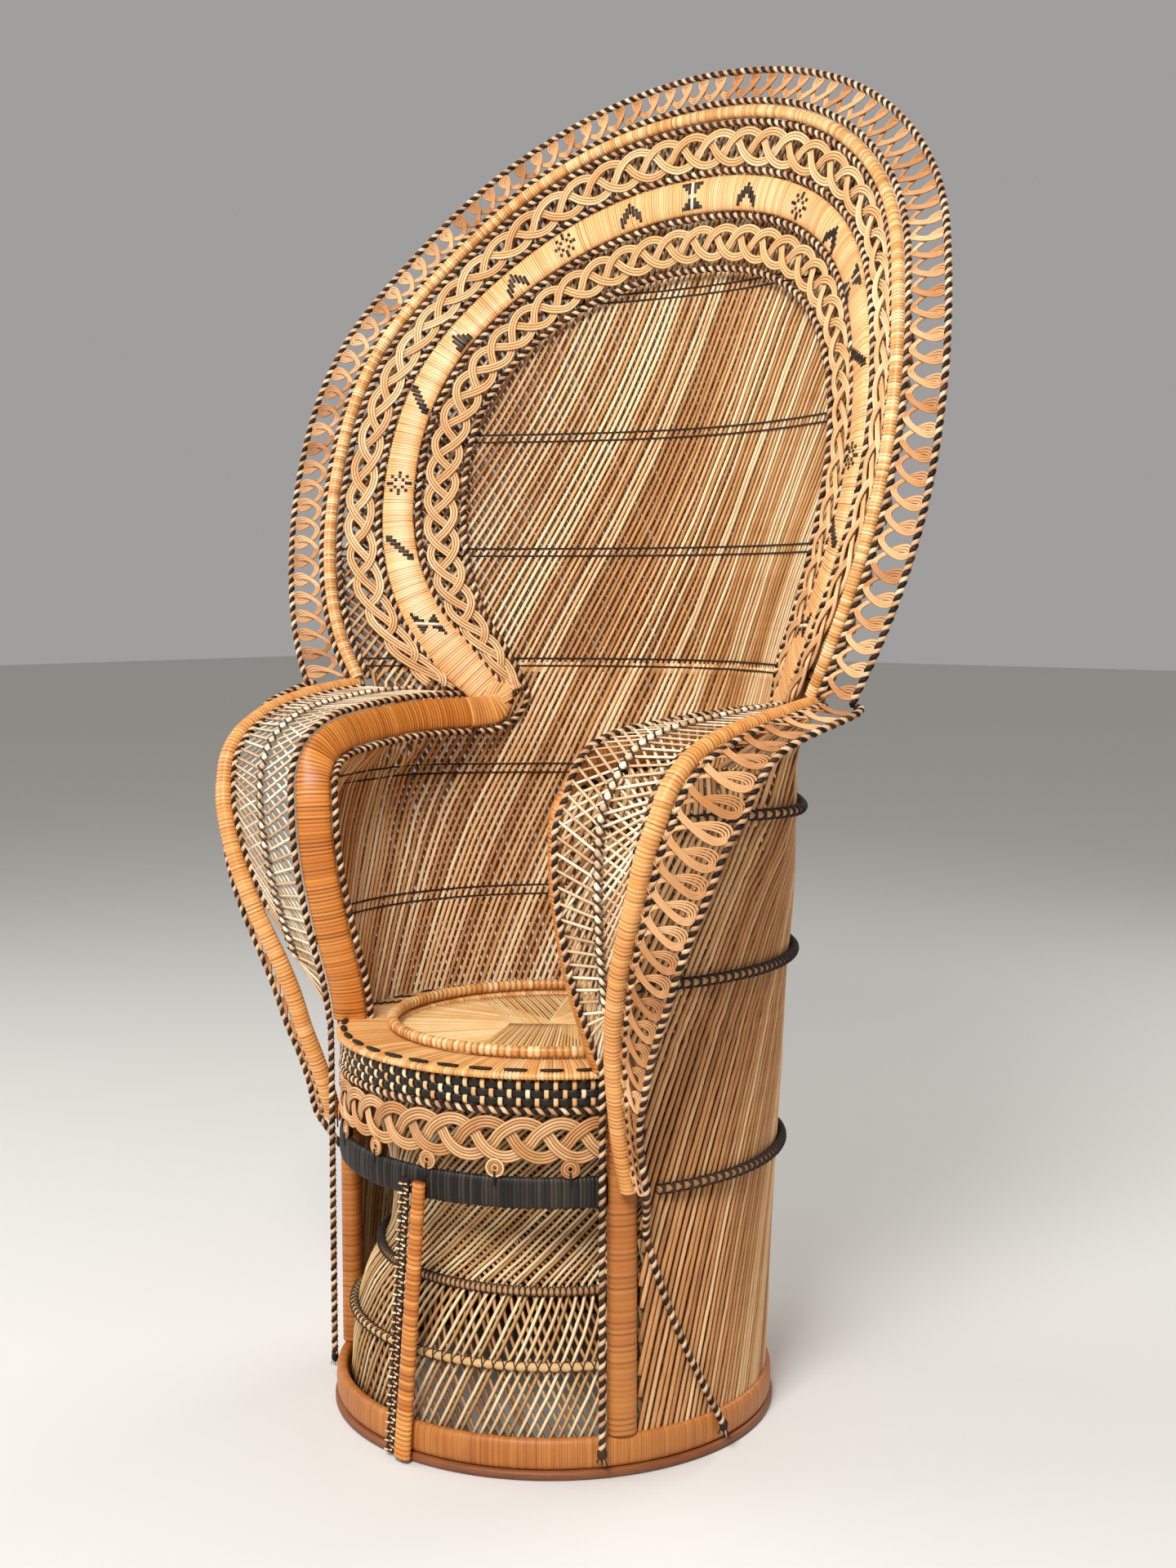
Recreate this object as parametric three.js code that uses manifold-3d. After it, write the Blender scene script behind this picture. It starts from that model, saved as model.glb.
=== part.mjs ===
// A woven peacock chair: a round base, an hourglass pedestal, a round seat inside a tube of
// woven reeds, two arms with leaf-shaped wings, and a tall fan back built up of wrapped,
// braided and corded bands. Millimetres, +Z up, the chair faces -Y.
import * as THREE from 'three';
import { mergeVertices } from 'three/addons/utils/BufferGeometryUtils.js';
import Module from 'manifold-3d';

const wasm = await Module();
wasm.setup();

// Sizes of the whole chair
const overallHeight = 1520;
const baseRadius = 250;
const seatHeight = 428;
const armHeight = 794;
const wingRise = 12;
const wingHeight = armHeight + wingRise;
const fanHalfWidth = 465;
const fanWidestHeight = 1058;
const fanDepth = 240;

// The space left between two pieces that touch
const clearance = 0.3;
// The space left between pieces that run side by side along a curved line
const lineClearance = 0.5;

// Colours from the photograph
const honeyCane = '#d9a05f';
const paleCane = '#e3bd84';
const brownCane = '#b87a35';
const reedColour = '#b8905a';
const cordColour = '#b39468';
const blackCane = '#2a2b2c';
const darkTwine = '#3a2a22';

const group = new THREE.Group();

function addPiece(name, geometry, colour, roughness) {
  const material = new THREE.MeshStandardMaterial({ color: colour, roughness, metalness: 0 });
  const piece = new THREE.Mesh(geometry, material);
  piece.name = name;
  group.add(piece);
}

// General shape makers

function mix(from, to, share) {
  return from + (to - from) * share;
}

function smooth(share) {
  const held = Math.min(1, Math.max(0, share));
  return held * held * (3 - 2 * held);
}

// The slope of a table's column at a row, from the rows on both sides
function tableSlope(table, row, column) {
  const before = table[Math.max(0, row - 1)];
  const after = table[Math.min(table.length - 1, row + 1)];
  return (after[column] - before[column]) / (after[0] - before[0]);
}

// Reads a table of rows [place, value, value...] along a smooth curve through its rows
function readTable(table, place, column) {
  if (place <= table[0][0]) {
    return table[0][column];
  }
  for (let row = 1; row < table.length; row += 1) {
    if (place <= table[row][0]) {
      const span = table[row][0] - table[row - 1][0];
      const share = (place - table[row - 1][0]) / span;
      const straight = mix(table[row - 1][column], table[row][column], smooth(share));
      const leaving = span * tableSlope(table, row - 1, column) * share * (1 - share) ** 2;
      const arriving = span * tableSlope(table, row, column) * share ** 2 * (share - 1);
      return straight + leaving + arriving;
    }
  }
  return table[table.length - 1][column];
}

// Turns a geometry's triangles over when they face inwards
function faceOutwards(positions, index) {
  let volume = 0;
  const corner = [new THREE.Vector3(), new THREE.Vector3(), new THREE.Vector3()];
  for (let i = 0; i < index.length; i += 3) {
    corner.forEach((point, k) => point.copy(positions[index[i + k]]));
    volume += corner[0].dot(corner[1].cross(corner[2]));
  }
  if (volume < 0) {
    for (let i = 0; i < index.length; i += 3) {
      [index[i], index[i + 1]] = [index[i + 1], index[i]];
    }
  }
}

// Skins a row of loops, each a list of points in the same order, into one closed solid
function loft(loops) {
  const positions = loops.flat();
  const sides = loops[0].length;
  const index = [];
  for (let row = 0; row < loops.length - 1; row += 1) {
    for (let side = 0; side < sides; side += 1) {
      const here = row * sides + side;
      const next = row * sides + ((side + 1) % sides);
      index.push(here, next, next + sides, here, next + sides, here + sides);
    }
  }
  const last = (loops.length - 1) * sides;
  for (let side = 1; side < sides - 1; side += 1) {
    index.push(0, side + 1, side);
    index.push(last, last + side, last + side + 1);
  }
  faceOutwards(positions, index);
  const geometry = new THREE.BufferGeometry().setFromPoints(positions);
  geometry.setIndex(index);
  geometry.computeVertexNormals();
  return geometry;
}

// Closes two matching grids of points, a front and a back, into one sheet with a rim
function sheet(front, back) {
  const rows = front.length;
  const columns = front[0].length;
  const positions = [...front.flat(), ...back.flat()];
  const behind = rows * columns;
  const index = [];
  for (let row = 0; row < rows - 1; row += 1) {
    for (let column = 0; column < columns - 1; column += 1) {
      const a = row * columns + column;
      const b = a + 1;
      const c = a + columns + 1;
      const d = a + columns;
      index.push(a, b, c, a, c, d);
      index.push(behind + a, behind + c, behind + b, behind + a, behind + d, behind + c);
    }
  }
  const rim = [];
  for (let column = 0; column < columns - 1; column += 1) {
    rim.push([column + 1, column]);
    rim.push([(rows - 1) * columns + column, (rows - 1) * columns + column + 1]);
  }
  for (let row = 0; row < rows - 1; row += 1) {
    rim.push([row * columns, (row + 1) * columns]);
    rim.push([(row + 2) * columns - 1, (row + 1) * columns - 1]);
  }
  rim.forEach(([a, b]) => {
    index.push(a, b, behind + b, a, behind + b, behind + a);
  });
  faceOutwards(positions, index);
  const geometry = new THREE.BufferGeometry().setFromPoints(positions);
  geometry.setIndex(index);
  geometry.computeVertexNormals();
  return geometry;
}

// A line that rises less than this share of its length keeps a square end
const steepShare = 0.5;

// Directions at each point of a line: along it, across it towards a hint, and through it
function lineFrames(points, hints) {
  return points.map((centre, i) => {
    const before = points[Math.max(0, i - 1)];
    const after = points[Math.min(points.length - 1, i + 1)];
    const along = after.clone().sub(before).normalize();
    const across = hints[i].clone().addScaledVector(along, -hints[i].dot(along)).normalize();
    return { centre, along, across, through: along.clone().cross(across) };
  });
}

// The same, with the first and last sections cut level, so that the line's ends are flat
function levelFrames(points, hints) {
  const frames = lineFrames(points, hints);
  frames[0].level = true;
  frames[frames.length - 1].level = Math.abs(frames[frames.length - 1].along.z) > steepShare;
  return frames;
}

function offset(frame, acrossBy, throughBy) {
  const aside = frame.across.clone().multiplyScalar(acrossBy).addScaledVector(frame.through, throughBy);
  if (frame.level) {
    aside.addScaledVector(frame.along, -aside.z / frame.along.z);
  }
  return aside.add(frame.centre);
}

// Runs an oval section along a line of frames
function rod(frames, halfWidth, halfDepth, sides) {
  const loops = frames.map((frame) => {
    const loop = [];
    for (let side = 0; side < sides; side += 1) {
      const turn = (2 * Math.PI * (side + 0.5)) / sides;
      loop.push(offset(frame, halfWidth * Math.cos(turn), halfDepth * Math.sin(turn)));
    }
    return loop;
  });
  return loft(loops);
}

// The same shape as a solid that manifold-3d can cut
function solidOf(geometry) {
  const bare = geometry.clone();
  bare.deleteAttribute('normal');
  bare.deleteAttribute('uv');
  const merged = mergeVertices(bare, mergeDistance);
  return new wasm.Manifold(new wasm.Mesh({
    numProp: 3,
    vertProperties: merged.attributes.position.array,
    triVerts: new Uint32Array(merged.index.array),
  }));
}

// A geometry with others cut out of it
function cutAway(geometry, cutters) {
  const cut = cutters.reduce((solid, cutter) => solid.subtract(solidOf(cutter)), solidOf(geometry));
  const mesh = cut.getMesh();
  const result = new THREE.BufferGeometry();
  result.setAttribute('position', new THREE.BufferAttribute(mesh.vertProperties, 3));
  result.setIndex(Array.from(mesh.triVerts));
  result.computeVertexNormals();
  return result;
}

// A full ring of revolution round Z from a closed profile of [radius, height] points
const ringSteps = 36;

function ring(profile) {
  const points = [...profile, profile[0]].map(([radius, height]) => new THREE.Vector2(radius, height));
  const geometry = new THREE.LatheGeometry(points, ringSteps);
  geometry.rotateX(Math.PI / 2);
  return geometry;
}

function roundProfile(radius, height, thickness, sides) {
  const profile = [];
  for (let side = 0; side < sides; side += 1) {
    const turn = (2 * Math.PI * (side + 0.5)) / sides;
    profile.push([radius + thickness * Math.cos(turn), height + thickness * Math.sin(turn)]);
  }
  return profile;
}

// A point of the chair at an angle from its front, turned towards +X
function aroundPoint(radius, angle, height) {
  return new THREE.Vector3(radius * Math.sin(angle), -radius * Math.cos(angle), height);
}

// A box-sectioned band round the front, between two angles
function frontBand(radius, halfAngle, thickness, low, high, steps) {
  const loops = [];
  for (let step = 0; step <= steps; step += 1) {
    const angle = mix(-halfAngle, halfAngle, step / steps);
    loops.push([
      aroundPoint(radius, angle, low),
      aroundPoint(radius + thickness, angle, low),
      aroundPoint(radius + thickness, angle, high),
      aroundPoint(radius, angle, high),
    ]);
  }
  return loft(loops);
}

const mirrorX = new THREE.Vector3(-1, 1, 1);

// A copy of a list of points or directions on the chair's other side
function onSide(points, side) {
  return side > 0 ? points : points.map((point) => point.clone().multiply(mirrorX));
}

const sideNames = { '1': 'right', '-1': 'left' };
const cordRadius = 4.6;
const cordSides = 6;
// Points closer than this are one point in a solid that is cut
const mergeDistance = 0.00001;

// Base: a flat-bottomed hoop on the floor with a band of wrapped cane on it

const baseHoopHeight = 10;
const baseHoopWidth = 12;
const baseBandTop = 43;
const baseBandInset = 2;

function makeBase() {
  const inner = baseRadius - baseHoopWidth;
  addPiece('base_hoop', ring([
    [inner, 0],
    [baseRadius, 0],
    [baseRadius, baseHoopHeight],
    [inner, baseHoopHeight],
  ]), brownCane, 0.5);
  const low = baseHoopHeight + clearance;
  addPiece('base_band', ring([
    [inner - baseBandInset, low],
    [baseRadius - baseBandInset, low],
    [baseRadius - baseBandInset, baseBandTop],
    [inner - baseBandInset, baseBandTop],
  ]), brownCane, 0.5);
}

const seatRimThickness = 11;
const seatFrameHeight = 25;
const seatFrameTop = seatHeight - seatRimThickness - clearance;
const seatFrameBottom = seatFrameTop - seatFrameHeight;
const pedestalBottom = baseBandTop + clearance;
const pedestalTop = seatFrameBottom - clearance;

// Posts: two wrapped uprights beside the front opening, and a stick at the middle of it

const postInset = 11;
const postRadius = baseRadius - postInset;
const postAngle = THREE.MathUtils.degToRad(59);
const postWidth = 32;
const postDepth = 22;
const postSides = 10;
const frontGapAngle = clearance / postRadius;
const frontHalfAngle = postAngle - postWidth / 2 / postRadius - frontGapAngle;

// A post's shape on one side, thicker and longer at each end by a margin
function postShape(side, margin) {
  const low = aroundPoint(postRadius, side * postAngle, pedestalBottom - margin);
  const high = aroundPoint(postRadius, side * postAngle, seatFrameTop + margin);
  const outwards = aroundPoint(1, side * postAngle, 0);
  const frames = lineFrames([low, high], [outwards, outwards]);
  return rod(frames, postDepth / 2 + margin, postWidth / 2 + margin, postSides);
}

const postNotches = [1, -1].map((side) => postShape(side, clearance));

function makePosts() {
  [1, -1].forEach((side) => {
    addPiece(`${sideNames[side]}_post`, postShape(side, 0), brownCane, 0.45);
  });
}

// Pedestal: an hourglass of open lattice with two lashed hoops round it

const latticeThickness = 4;
const pedestalHoopRadius = 4.5;
const pedestalHoopSides = 6;
// Height between the base band and the seat frame, and radius, as shares of the base radius
const pedestalProfileShares = [
  [0, 0.92],
  [0.11, 0.912],
  [0.2, 0.892],
  [0.3, 0.852],
  [0.36, 0.808],
  [0.4, 0.763],
  [0.46, 0.736],
  [0.57, 0.724],
  [0.7, 0.744],
  [0.83, 0.796],
  [1, 0.888],
];
// The profile's rows that carry the hoops
const lowerHoopRow = 2;
const upperHoopRow = 5;

// How far out a round hoop stands from a row of the profile, so that it clears both slopes there
function hoopStandOff(outer, row) {
  const slopes = [row, row + 1].map((next) => (
    (outer[next][0] - outer[next - 1][0]) / (outer[next][1] - outer[next - 1][1])));
  const steepest = Math.max(...slopes.map(Math.abs));
  return (pedestalHoopRadius + clearance) * Math.hypot(1, steepest);
}

function makePedestal() {
  const outer = pedestalProfileShares.map(([share, radiusShare]) => [
    baseRadius * radiusShare,
    mix(pedestalBottom, pedestalTop, share),
  ]);
  const inner = outer.map(([radius, height]) => [radius - latticeThickness, height]).reverse();
  addPiece('pedestal_lattice', cutAway(ring([...outer, ...inner]), postNotches), reedColour, 0.6);
  [['lower_pedestal_hoop', lowerHoopRow, paleCane], ['upper_pedestal_hoop', upperHoopRow, darkTwine]]
    .forEach(([name, row, colour]) => {
      const [radius, height] = outer[row];
      const centre = radius + hoopStandOff(outer, row);
      const hoop = ring(roundProfile(centre, height, pedestalHoopRadius, pedestalHoopSides));
      addPiece(name, cutAway(hoop, postNotches), colour, 0.5);
    });
}

// Seat: a frame hoop, a wrapped rim, a raised inner hoop and a star of cane inside it

const seatInset = 5;
const seatRadius = baseRadius - seatInset;
const seatFrameInset = 17;
const seatFrameRadius = seatRadius - seatFrameInset;
const seatFrameWidth = 13;
const seatRimWidth = 68.7;
const starRadius = seatRadius - seatRimWidth - clearance;
const starThickness = 5;
const raisedHoopRadius = 6;
const raisedHoopSides = 6;
const starSteps = 36;

function makeSeat() {
  const frameInner = seatFrameRadius - seatFrameWidth;
  const frame = ring([
    [frameInner, seatFrameBottom],
    [seatFrameRadius, seatFrameBottom],
    [seatFrameRadius, seatFrameTop],
    [frameInner, seatFrameTop],
  ]);
  addPiece('seat_frame_hoop', cutAway(frame, postNotches), brownCane, 0.5);
  const rimLow = seatHeight - seatRimThickness;
  addPiece('seat_rim', ring([
    [starRadius + clearance, rimLow],
    [seatRadius, rimLow],
    [seatRadius, seatHeight],
    [starRadius + clearance, seatHeight],
  ]), honeyCane, 0.45);
  const hoopCentre = starRadius + clearance + raisedHoopRadius;
  const hoopHeight = seatHeight + clearance + raisedHoopRadius;
  addPiece('seat_raised_hoop',
    ring(roundProfile(hoopCentre, hoopHeight, raisedHoopRadius, raisedHoopSides)), honeyCane, 0.4);
  const star = new THREE.CylinderGeometry(starRadius, starRadius, starThickness, starSteps);
  star.rotateX(Math.PI / 2);
  star.translate(0, 0, seatHeight - seatRimThickness / 2);
  addPiece('seat_star', star, paleCane, 0.45);
}

// Seat front: a checkered band, a twisted cord, a braided apron and a black-wrapped ring

const checkerStandOff = 5;
const checkerRadius = seatFrameRadius + checkerStandOff;
const checkerThickness = 8;
const checkerHeight = 26;
const seatCordStandOff = 10;
const seatCordRadius = seatFrameRadius + seatCordStandOff;
const apronStandOff = 5;
const apronRadius = seatFrameRadius + apronStandOff;
const apronThickness = 8;
const apronHeight = 63;
const blackRingStandOff = 4;
const blackRingRadius = seatFrameRadius + blackRingStandOff;
const blackRingThickness = 10;
const blackRingHeight = 34;
const frontSteps = 20;

const checkerTop = seatHeight - seatRimThickness - clearance;
const checkerBottom = checkerTop - checkerHeight;
const seatCordHeight = checkerBottom - clearance - cordRadius;
const apronTop = seatCordHeight - cordRadius - clearance;
const apronBottom = apronTop - apronHeight;
const blackRingTop = apronBottom - clearance;
const blackRingBottom = blackRingTop - blackRingHeight;

function makeSeatFront() {
  addPiece('seat_checker_band',
    frontBand(checkerRadius, frontHalfAngle, checkerThickness, checkerBottom, checkerTop, frontSteps),
    darkTwine, 0.5);
  const points = [];
  for (let step = 0; step <= frontSteps; step += 1) {
    const angle = mix(-frontHalfAngle, frontHalfAngle, step / frontSteps);
    points.push(aroundPoint(seatCordRadius, angle, seatCordHeight));
  }
  const up = points.map(() => new THREE.Vector3(0, 0, 1));
  addPiece('seat_cord', rod(lineFrames(points, up), cordRadius, cordRadius, cordSides), cordColour, 0.6);
  addPiece('seat_apron',
    frontBand(apronRadius, frontHalfAngle, apronThickness, apronBottom, apronTop, frontSteps),
    reedColour, 0.6);
  addPiece('black_ring',
    frontBand(blackRingRadius, frontHalfAngle, blackRingThickness, blackRingBottom, blackRingTop, frontSteps),
    blackCane, 0.45);
}

// Centre stick: a wrapped upright outside the base band and the black ring, with a woven strip on it

const stickWidth = 26;
const stickDepth = 12;
const stickSides = 8;
const stickTopOverlap = 20;
const stickTopX = 32;
const stickBottomX = 14;
const stripWidth = 12;
const stripDepth = 6;

function makeCentreStick() {
  const ringFlat = baseRadius * Math.cos(Math.PI / ringSteps);
  const lowY = -(ringFlat + clearance + stickDepth / 2);
  const ringOuter = blackRingRadius + blackRingThickness;
  const ringFront = Math.sqrt(ringOuter ** 2 - (stickTopX - stickDepth / 2) ** 2);
  const highY = -(ringFront + clearance + stickDepth / 2);
  const high = blackRingBottom + stickTopOverlap;
  const up = [
    new THREE.Vector3(stickBottomX, lowY, baseHoopHeight / 2),
    new THREE.Vector3(stickTopX, highY, high),
  ];
  const across = up.map(() => new THREE.Vector3(1, 0, 0));
  const frames = lineFrames(up, across);
  addPiece('centre_stick', rod(frames, stickWidth / 2, stickDepth / 2, stickSides), honeyCane, 0.45);
  const stickFlat = stickWidth / 2 * Math.cos(Math.PI / stickSides);
  const stripFlat = stripWidth / 2 * Math.cos(Math.PI / cordSides);
  const beside = stickFlat + clearance + stripFlat;
  const stripFrames = lineFrames(frames.map((frame) => offset(frame, -beside, 0)), across);
  addPiece('centre_stick_strip', rod(stripFrames, stripWidth / 2, stripDepth / 2, cordSides), darkTwine, 0.6);
}

// The fan's curved face: depth at its middle line, and how far it comes forward to the sides

// Height from the wing joint to the top, then depth, bend and relaxing, as shares of the fan depth
const fanFaceShares = [
  [-0.07, 0.999, 2.6, 1.35],
  [0, 0.999, 2.37, 1.135],
  [0.3, 0.999, 1.5, 0.5],
  [0.56, 1.02, 1.12, 0.3],
  [0.75, 1.065, 0.73, 0.058],
  [0.93, 1.113, 0.65, 0],
];

function fanFaceY(x, z) {
  const share = (z - wingHeight) / (overallHeight - wingHeight);
  const middle = fanDepth * readTable(fanFaceShares, share, 1);
  const bend = fanDepth * readTable(fanFaceShares, share, 2);
  const relaxing = fanDepth * readTable(fanFaceShares, share, 3);
  const aside = (x / fanHalfWidth) ** 2;
  return middle - bend * aside + relaxing * aside * aside;
}

const slopeStep = 1;

// The face's direction to the back at a place
function fanBackwards(x, z) {
  const slopeX = (fanFaceY(x + slopeStep, z) - fanFaceY(x - slopeStep, z)) / (2 * slopeStep);
  const slopeZ = (fanFaceY(x, z + slopeStep) - fanFaceY(x, z - slopeStep)) / (2 * slopeStep);
  return new THREE.Vector3(-slopeX, 1, -slopeZ).normalize();
}

// The fan's rings, from the outside in: half width, crown height, half width at the foot, foot height
const edgeFootShare = 0.871;
const edgeCordRing = {
  half: fanHalfWidth,
  crown: overallHeight - cordRadius,
  footHalf: fanHalfWidth * edgeFootShare,
  foot: wingHeight,
};
const fringeSideWidth = 61;
const fringeCrownWidth = 46;
const fringeFootWidth = 68;
const outerBraidSideWidth = 47;
const outerBraidCrownWidth = 67;
const outerBraidFootWidth = 96;
const patternBandSideWidth = 40;
const patternBandCrownWidth = 52;
const patternBandFootWidth = 50;
const innerBraidSideWidth = 47;
const innerBraidCrownWidth = 61;
const innerBraidFootWidth = 21;

function innerRing(outer, sideWidth, crownWidth, footWidth, foot) {
  return {
    half: outer.half - sideWidth,
    crown: outer.crown - crownWidth,
    footHalf: outer.footHalf - footWidth,
    foot,
  };
}

const thinHoopRing = innerRing(edgeCordRing, fringeSideWidth, fringeCrownWidth, fringeFootWidth, wingHeight);
const bandOuterRing = innerRing(
  thinHoopRing, outerBraidSideWidth, outerBraidCrownWidth, outerBraidFootWidth, armHeight);
const bandInnerRing = innerRing(
  bandOuterRing, patternBandSideWidth, patternBandCrownWidth, patternBandFootWidth, armHeight);
const panelRing = innerRing(
  bandInnerRing, innerBraidSideWidth, innerBraidCrownWidth, innerBraidFootWidth, armHeight);

const fanSteps = 17;
const lowerStepsShare = 0.3;
const crownPower = 2.15;

// The place on a ring, from its right foot at share 0 to its crown at share 1
function ringPlace(ring, share) {
  const drop = (fanWidestHeight - ring.foot) / Math.sqrt(1 - (ring.footHalf / ring.half) ** 2);
  if (share < lowerStepsShare) {
    const footTurn = Math.asin((fanWidestHeight - ring.foot) / drop);
    const turn = footTurn * (1 - share / lowerStepsShare);
    return { x: ring.half * Math.cos(turn), z: fanWidestHeight - drop * Math.sin(turn) };
  }
  const turn = ((share - lowerStepsShare) / (1 - lowerStepsShare)) * (Math.PI / 2);
  const rise = ring.crown - fanWidestHeight;
  return {
    x: ring.half * Math.max(0, Math.cos(turn)) ** (2 / crownPower),
    z: fanWidestHeight + rise * Math.sin(turn) ** (2 / crownPower),
  };
}

const fringeSetback = 29;

// The right half of a ring on the fan's face, from foot to crown
function ringHalf(ring, setback) {
  const points = [];
  for (let step = 0; step <= fanSteps; step += 1) {
    const { x, z } = ringPlace(ring, step / fanSteps);
    points.push(new THREE.Vector3(x, fanFaceY(x, z) + setback * (x / fanHalfWidth), z));
  }
  return points;
}

// A whole ring's points from the right foot over the crown to the left foot
function wholeRing(half) {
  const left = onSide(half.slice(0, -1), -1).reverse();
  return [...half, ...left];
}

const edgeLine = wholeRing(ringHalf(edgeCordRing, fringeSetback));
const hoopLine = wholeRing(ringHalf(thinHoopRing, 0));
const bandOuterLine = wholeRing(ringHalf(bandOuterRing, 0));
const bandInnerLine = wholeRing(ringHalf(bandInnerRing, 0));
const panelLine = wholeRing(ringHalf(panelRing, 0));

const fanBack = hoopLine.map((point) => fanBackwards(point.x, point.z));

function fanCord(name, line) {
  addPiece(name, rod(levelFrames(line, fanBack), cordRadius, cordRadius, cordSides), cordColour, 0.6);
}

function framesTowards(line, towards) {
  return levelFrames(line, towards.map((point, i) => point.clone().sub(line[i])));
}

// The line beside another, moved square to itself towards a third line
function lineBeside(line, towards, distance) {
  return framesTowards(line, towards).map((frame) => offset(frame, distance, 0));
}

// A flat band between two lines, clear of what runs along each
function bandBetween(outer, inner, outerClear, innerClear, halfThickness) {
  const outerFrames = framesTowards(outer, inner);
  const innerFrames = framesTowards(inner, outer);
  const loops = outerFrames.map((outerFrame, i) => [
    offset(outerFrame, outerClear, -halfThickness),
    offset(innerFrames[i], innerClear, halfThickness),
    offset(innerFrames[i], innerClear, -halfThickness),
    offset(outerFrame, outerClear, halfThickness),
  ]);
  return loft(loops);
}

const thinHoopRadius = 7;
const thinHoopSides = 8;
const braidHalfThickness = 5;
const bandHalfThickness = 6;
const cordClear = cordRadius + lineClearance;
const hoopCordDistance = thinHoopRadius + cordRadius + lineClearance;

function makeFanBands() {
  fanCord('panel_cord', panelLine);
  fanCord('band_inner_cord', bandInnerLine);
  fanCord('band_outer_cord', bandOuterLine);
  fanCord('hoop_inner_cord', lineBeside(hoopLine, bandOuterLine, hoopCordDistance));
  fanCord('hoop_outer_cord', lineBeside(hoopLine, edgeLine, hoopCordDistance));
  fanCord('edge_cord', edgeLine);
  addPiece('thin_hoop', rod(levelFrames(hoopLine, fanBack), thinHoopRadius, thinHoopRadius, thinHoopSides),
    honeyCane, 0.4);
  addPiece('inner_braid',
    bandBetween(bandInnerLine, panelLine, cordClear, cordClear, braidHalfThickness),
    paleCane, 0.5);
  addPiece('pattern_band',
    bandBetween(bandOuterLine, bandInnerLine, cordClear, cordClear, bandHalfThickness),
    honeyCane, 0.4);
  const pastHoopCord = hoopCordDistance + cordClear;
  addPiece('outer_braid',
    bandBetween(hoopLine, bandOuterLine, pastHoopCord, cordClear, braidHalfThickness),
    paleCane, 0.5);
  addPiece('fringe',
    bandBetween(edgeLine, hoopLine, cordClear, pastHoopCord, braidHalfThickness),
    paleCane, 0.5);
}

// The woven sheet behind the fan's bands, down to the tube's top edge

const reedThickness = 4;
const sheetThickness = 2 * reedThickness;
const sheetSpare = 5.5;
const sheetFront = thinHoopRadius + sheetSpare;
const tubeTopDrop = 39;
const tubeTop = armHeight - tubeTopDrop;
const fanSheetColumns = 22;
const fanSheetRows = 12;
const sheetReachShare = 0.985;
const sheetFootShare = 0.9;
const sheetFootHalf = baseRadius * sheetFootShare;

function sheetTopAt(x) {
  const aside = Math.min(1, Math.abs(x) / thinHoopRing.half);
  const rise = thinHoopRing.crown - fanWidestHeight;
  return fanWidestHeight + rise * (1 - aside ** crownPower) ** (1 / crownPower);
}

function sheetBottomAt(x) {
  const aside = Math.abs(x);
  const low = tubeTop + clearance;
  if (aside <= sheetFootHalf) {
    return low;
  }
  if (aside <= thinHoopRing.footHalf) {
    const share = (aside - sheetFootHalf) / (thinHoopRing.footHalf - sheetFootHalf);
    return mix(low, thinHoopRing.foot, share);
  }
  const drop = (fanWidestHeight - thinHoopRing.foot)
    / Math.sqrt(1 - (thinHoopRing.footHalf / thinHoopRing.half) ** 2);
  return fanWidestHeight - drop * Math.sqrt(1 - (aside / thinHoopRing.half) ** 2);
}

function makeFanSheet() {
  const front = [];
  const back = [];
  for (let column = 0; column <= fanSheetColumns; column += 1) {
    const turn = mix(-Math.PI / 2, Math.PI / 2, column / fanSheetColumns);
    const x = thinHoopRing.half * sheetReachShare * Math.sin(turn);
    const frontColumn = [];
    const backColumn = [];
    for (let row = 0; row <= fanSheetRows; row += 1) {
      const z = mix(sheetBottomAt(x), sheetTopAt(x), row / fanSheetRows);
      const place = new THREE.Vector3(x, fanFaceY(x, z), z);
      const behind = fanBackwards(x, z);
      behind.z = 0;
      behind.normalize();
      frontColumn.push(place.clone().addScaledVector(behind, sheetFront));
      backColumn.push(place.clone().addScaledVector(behind, sheetFront + sheetThickness));
    }
    front.push(frontColumn);
    back.push(backColumn);
  }
  addPiece('fan_sheet', sheet(front, back), reedColour, 0.6);
}

// Arms: a wide wrapped hoop on each side, from the seat's rim up and back to the fan's band

const armHoopWidth = 38;
const armHoopThickness = 14;
const armHoopSides = 10;
const armSteps = 20;
// Sideways as a share of the base radius, from the foot's place back to the fan's face, and height
// between seat and arm top
const armRouteShares = [
  [0.744, 0, 0],
  [0.72, -0.046, 0.12],
  [0.708, -0.118, 0.277],
  [0.708, -0.183, 0.466],
  [0.712, -0.214, 0.614],
  [0.72, -0.218, 0.76],
  [0.74, -0.199, 0.83],
  [0.77, -0.126, 0.905],
  [0.8, -0.004, 0.95],
  [0.84, 0.153, 0.97],
  [0.875, 0.344, 0.985],
  [0.89, 0.582, 0.998],
  [0.875, 0.878, 1],
];
const armFootShare = 0.56;
const armBottom = seatHeight + clearance;
const armTop = armHeight - clearance - 2 * cordRadius - lineClearance - armHoopWidth / 2;

function armRoute() {
  const footY = -baseRadius * armFootShare;
  const endX = baseRadius * armRouteShares[armRouteShares.length - 1][0];
  const faceY = fanFaceY(endX, armTop);
  const corners = armRouteShares.map(([x, back, rise]) => new THREE.Vector3(
    baseRadius * x, mix(footY, faceY, back), mix(armBottom, armTop, rise)));
  return new THREE.CatmullRomCurve3(corners, false, 'centripetal').getPoints(armSteps);
}

const armLine = armRoute();
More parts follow.
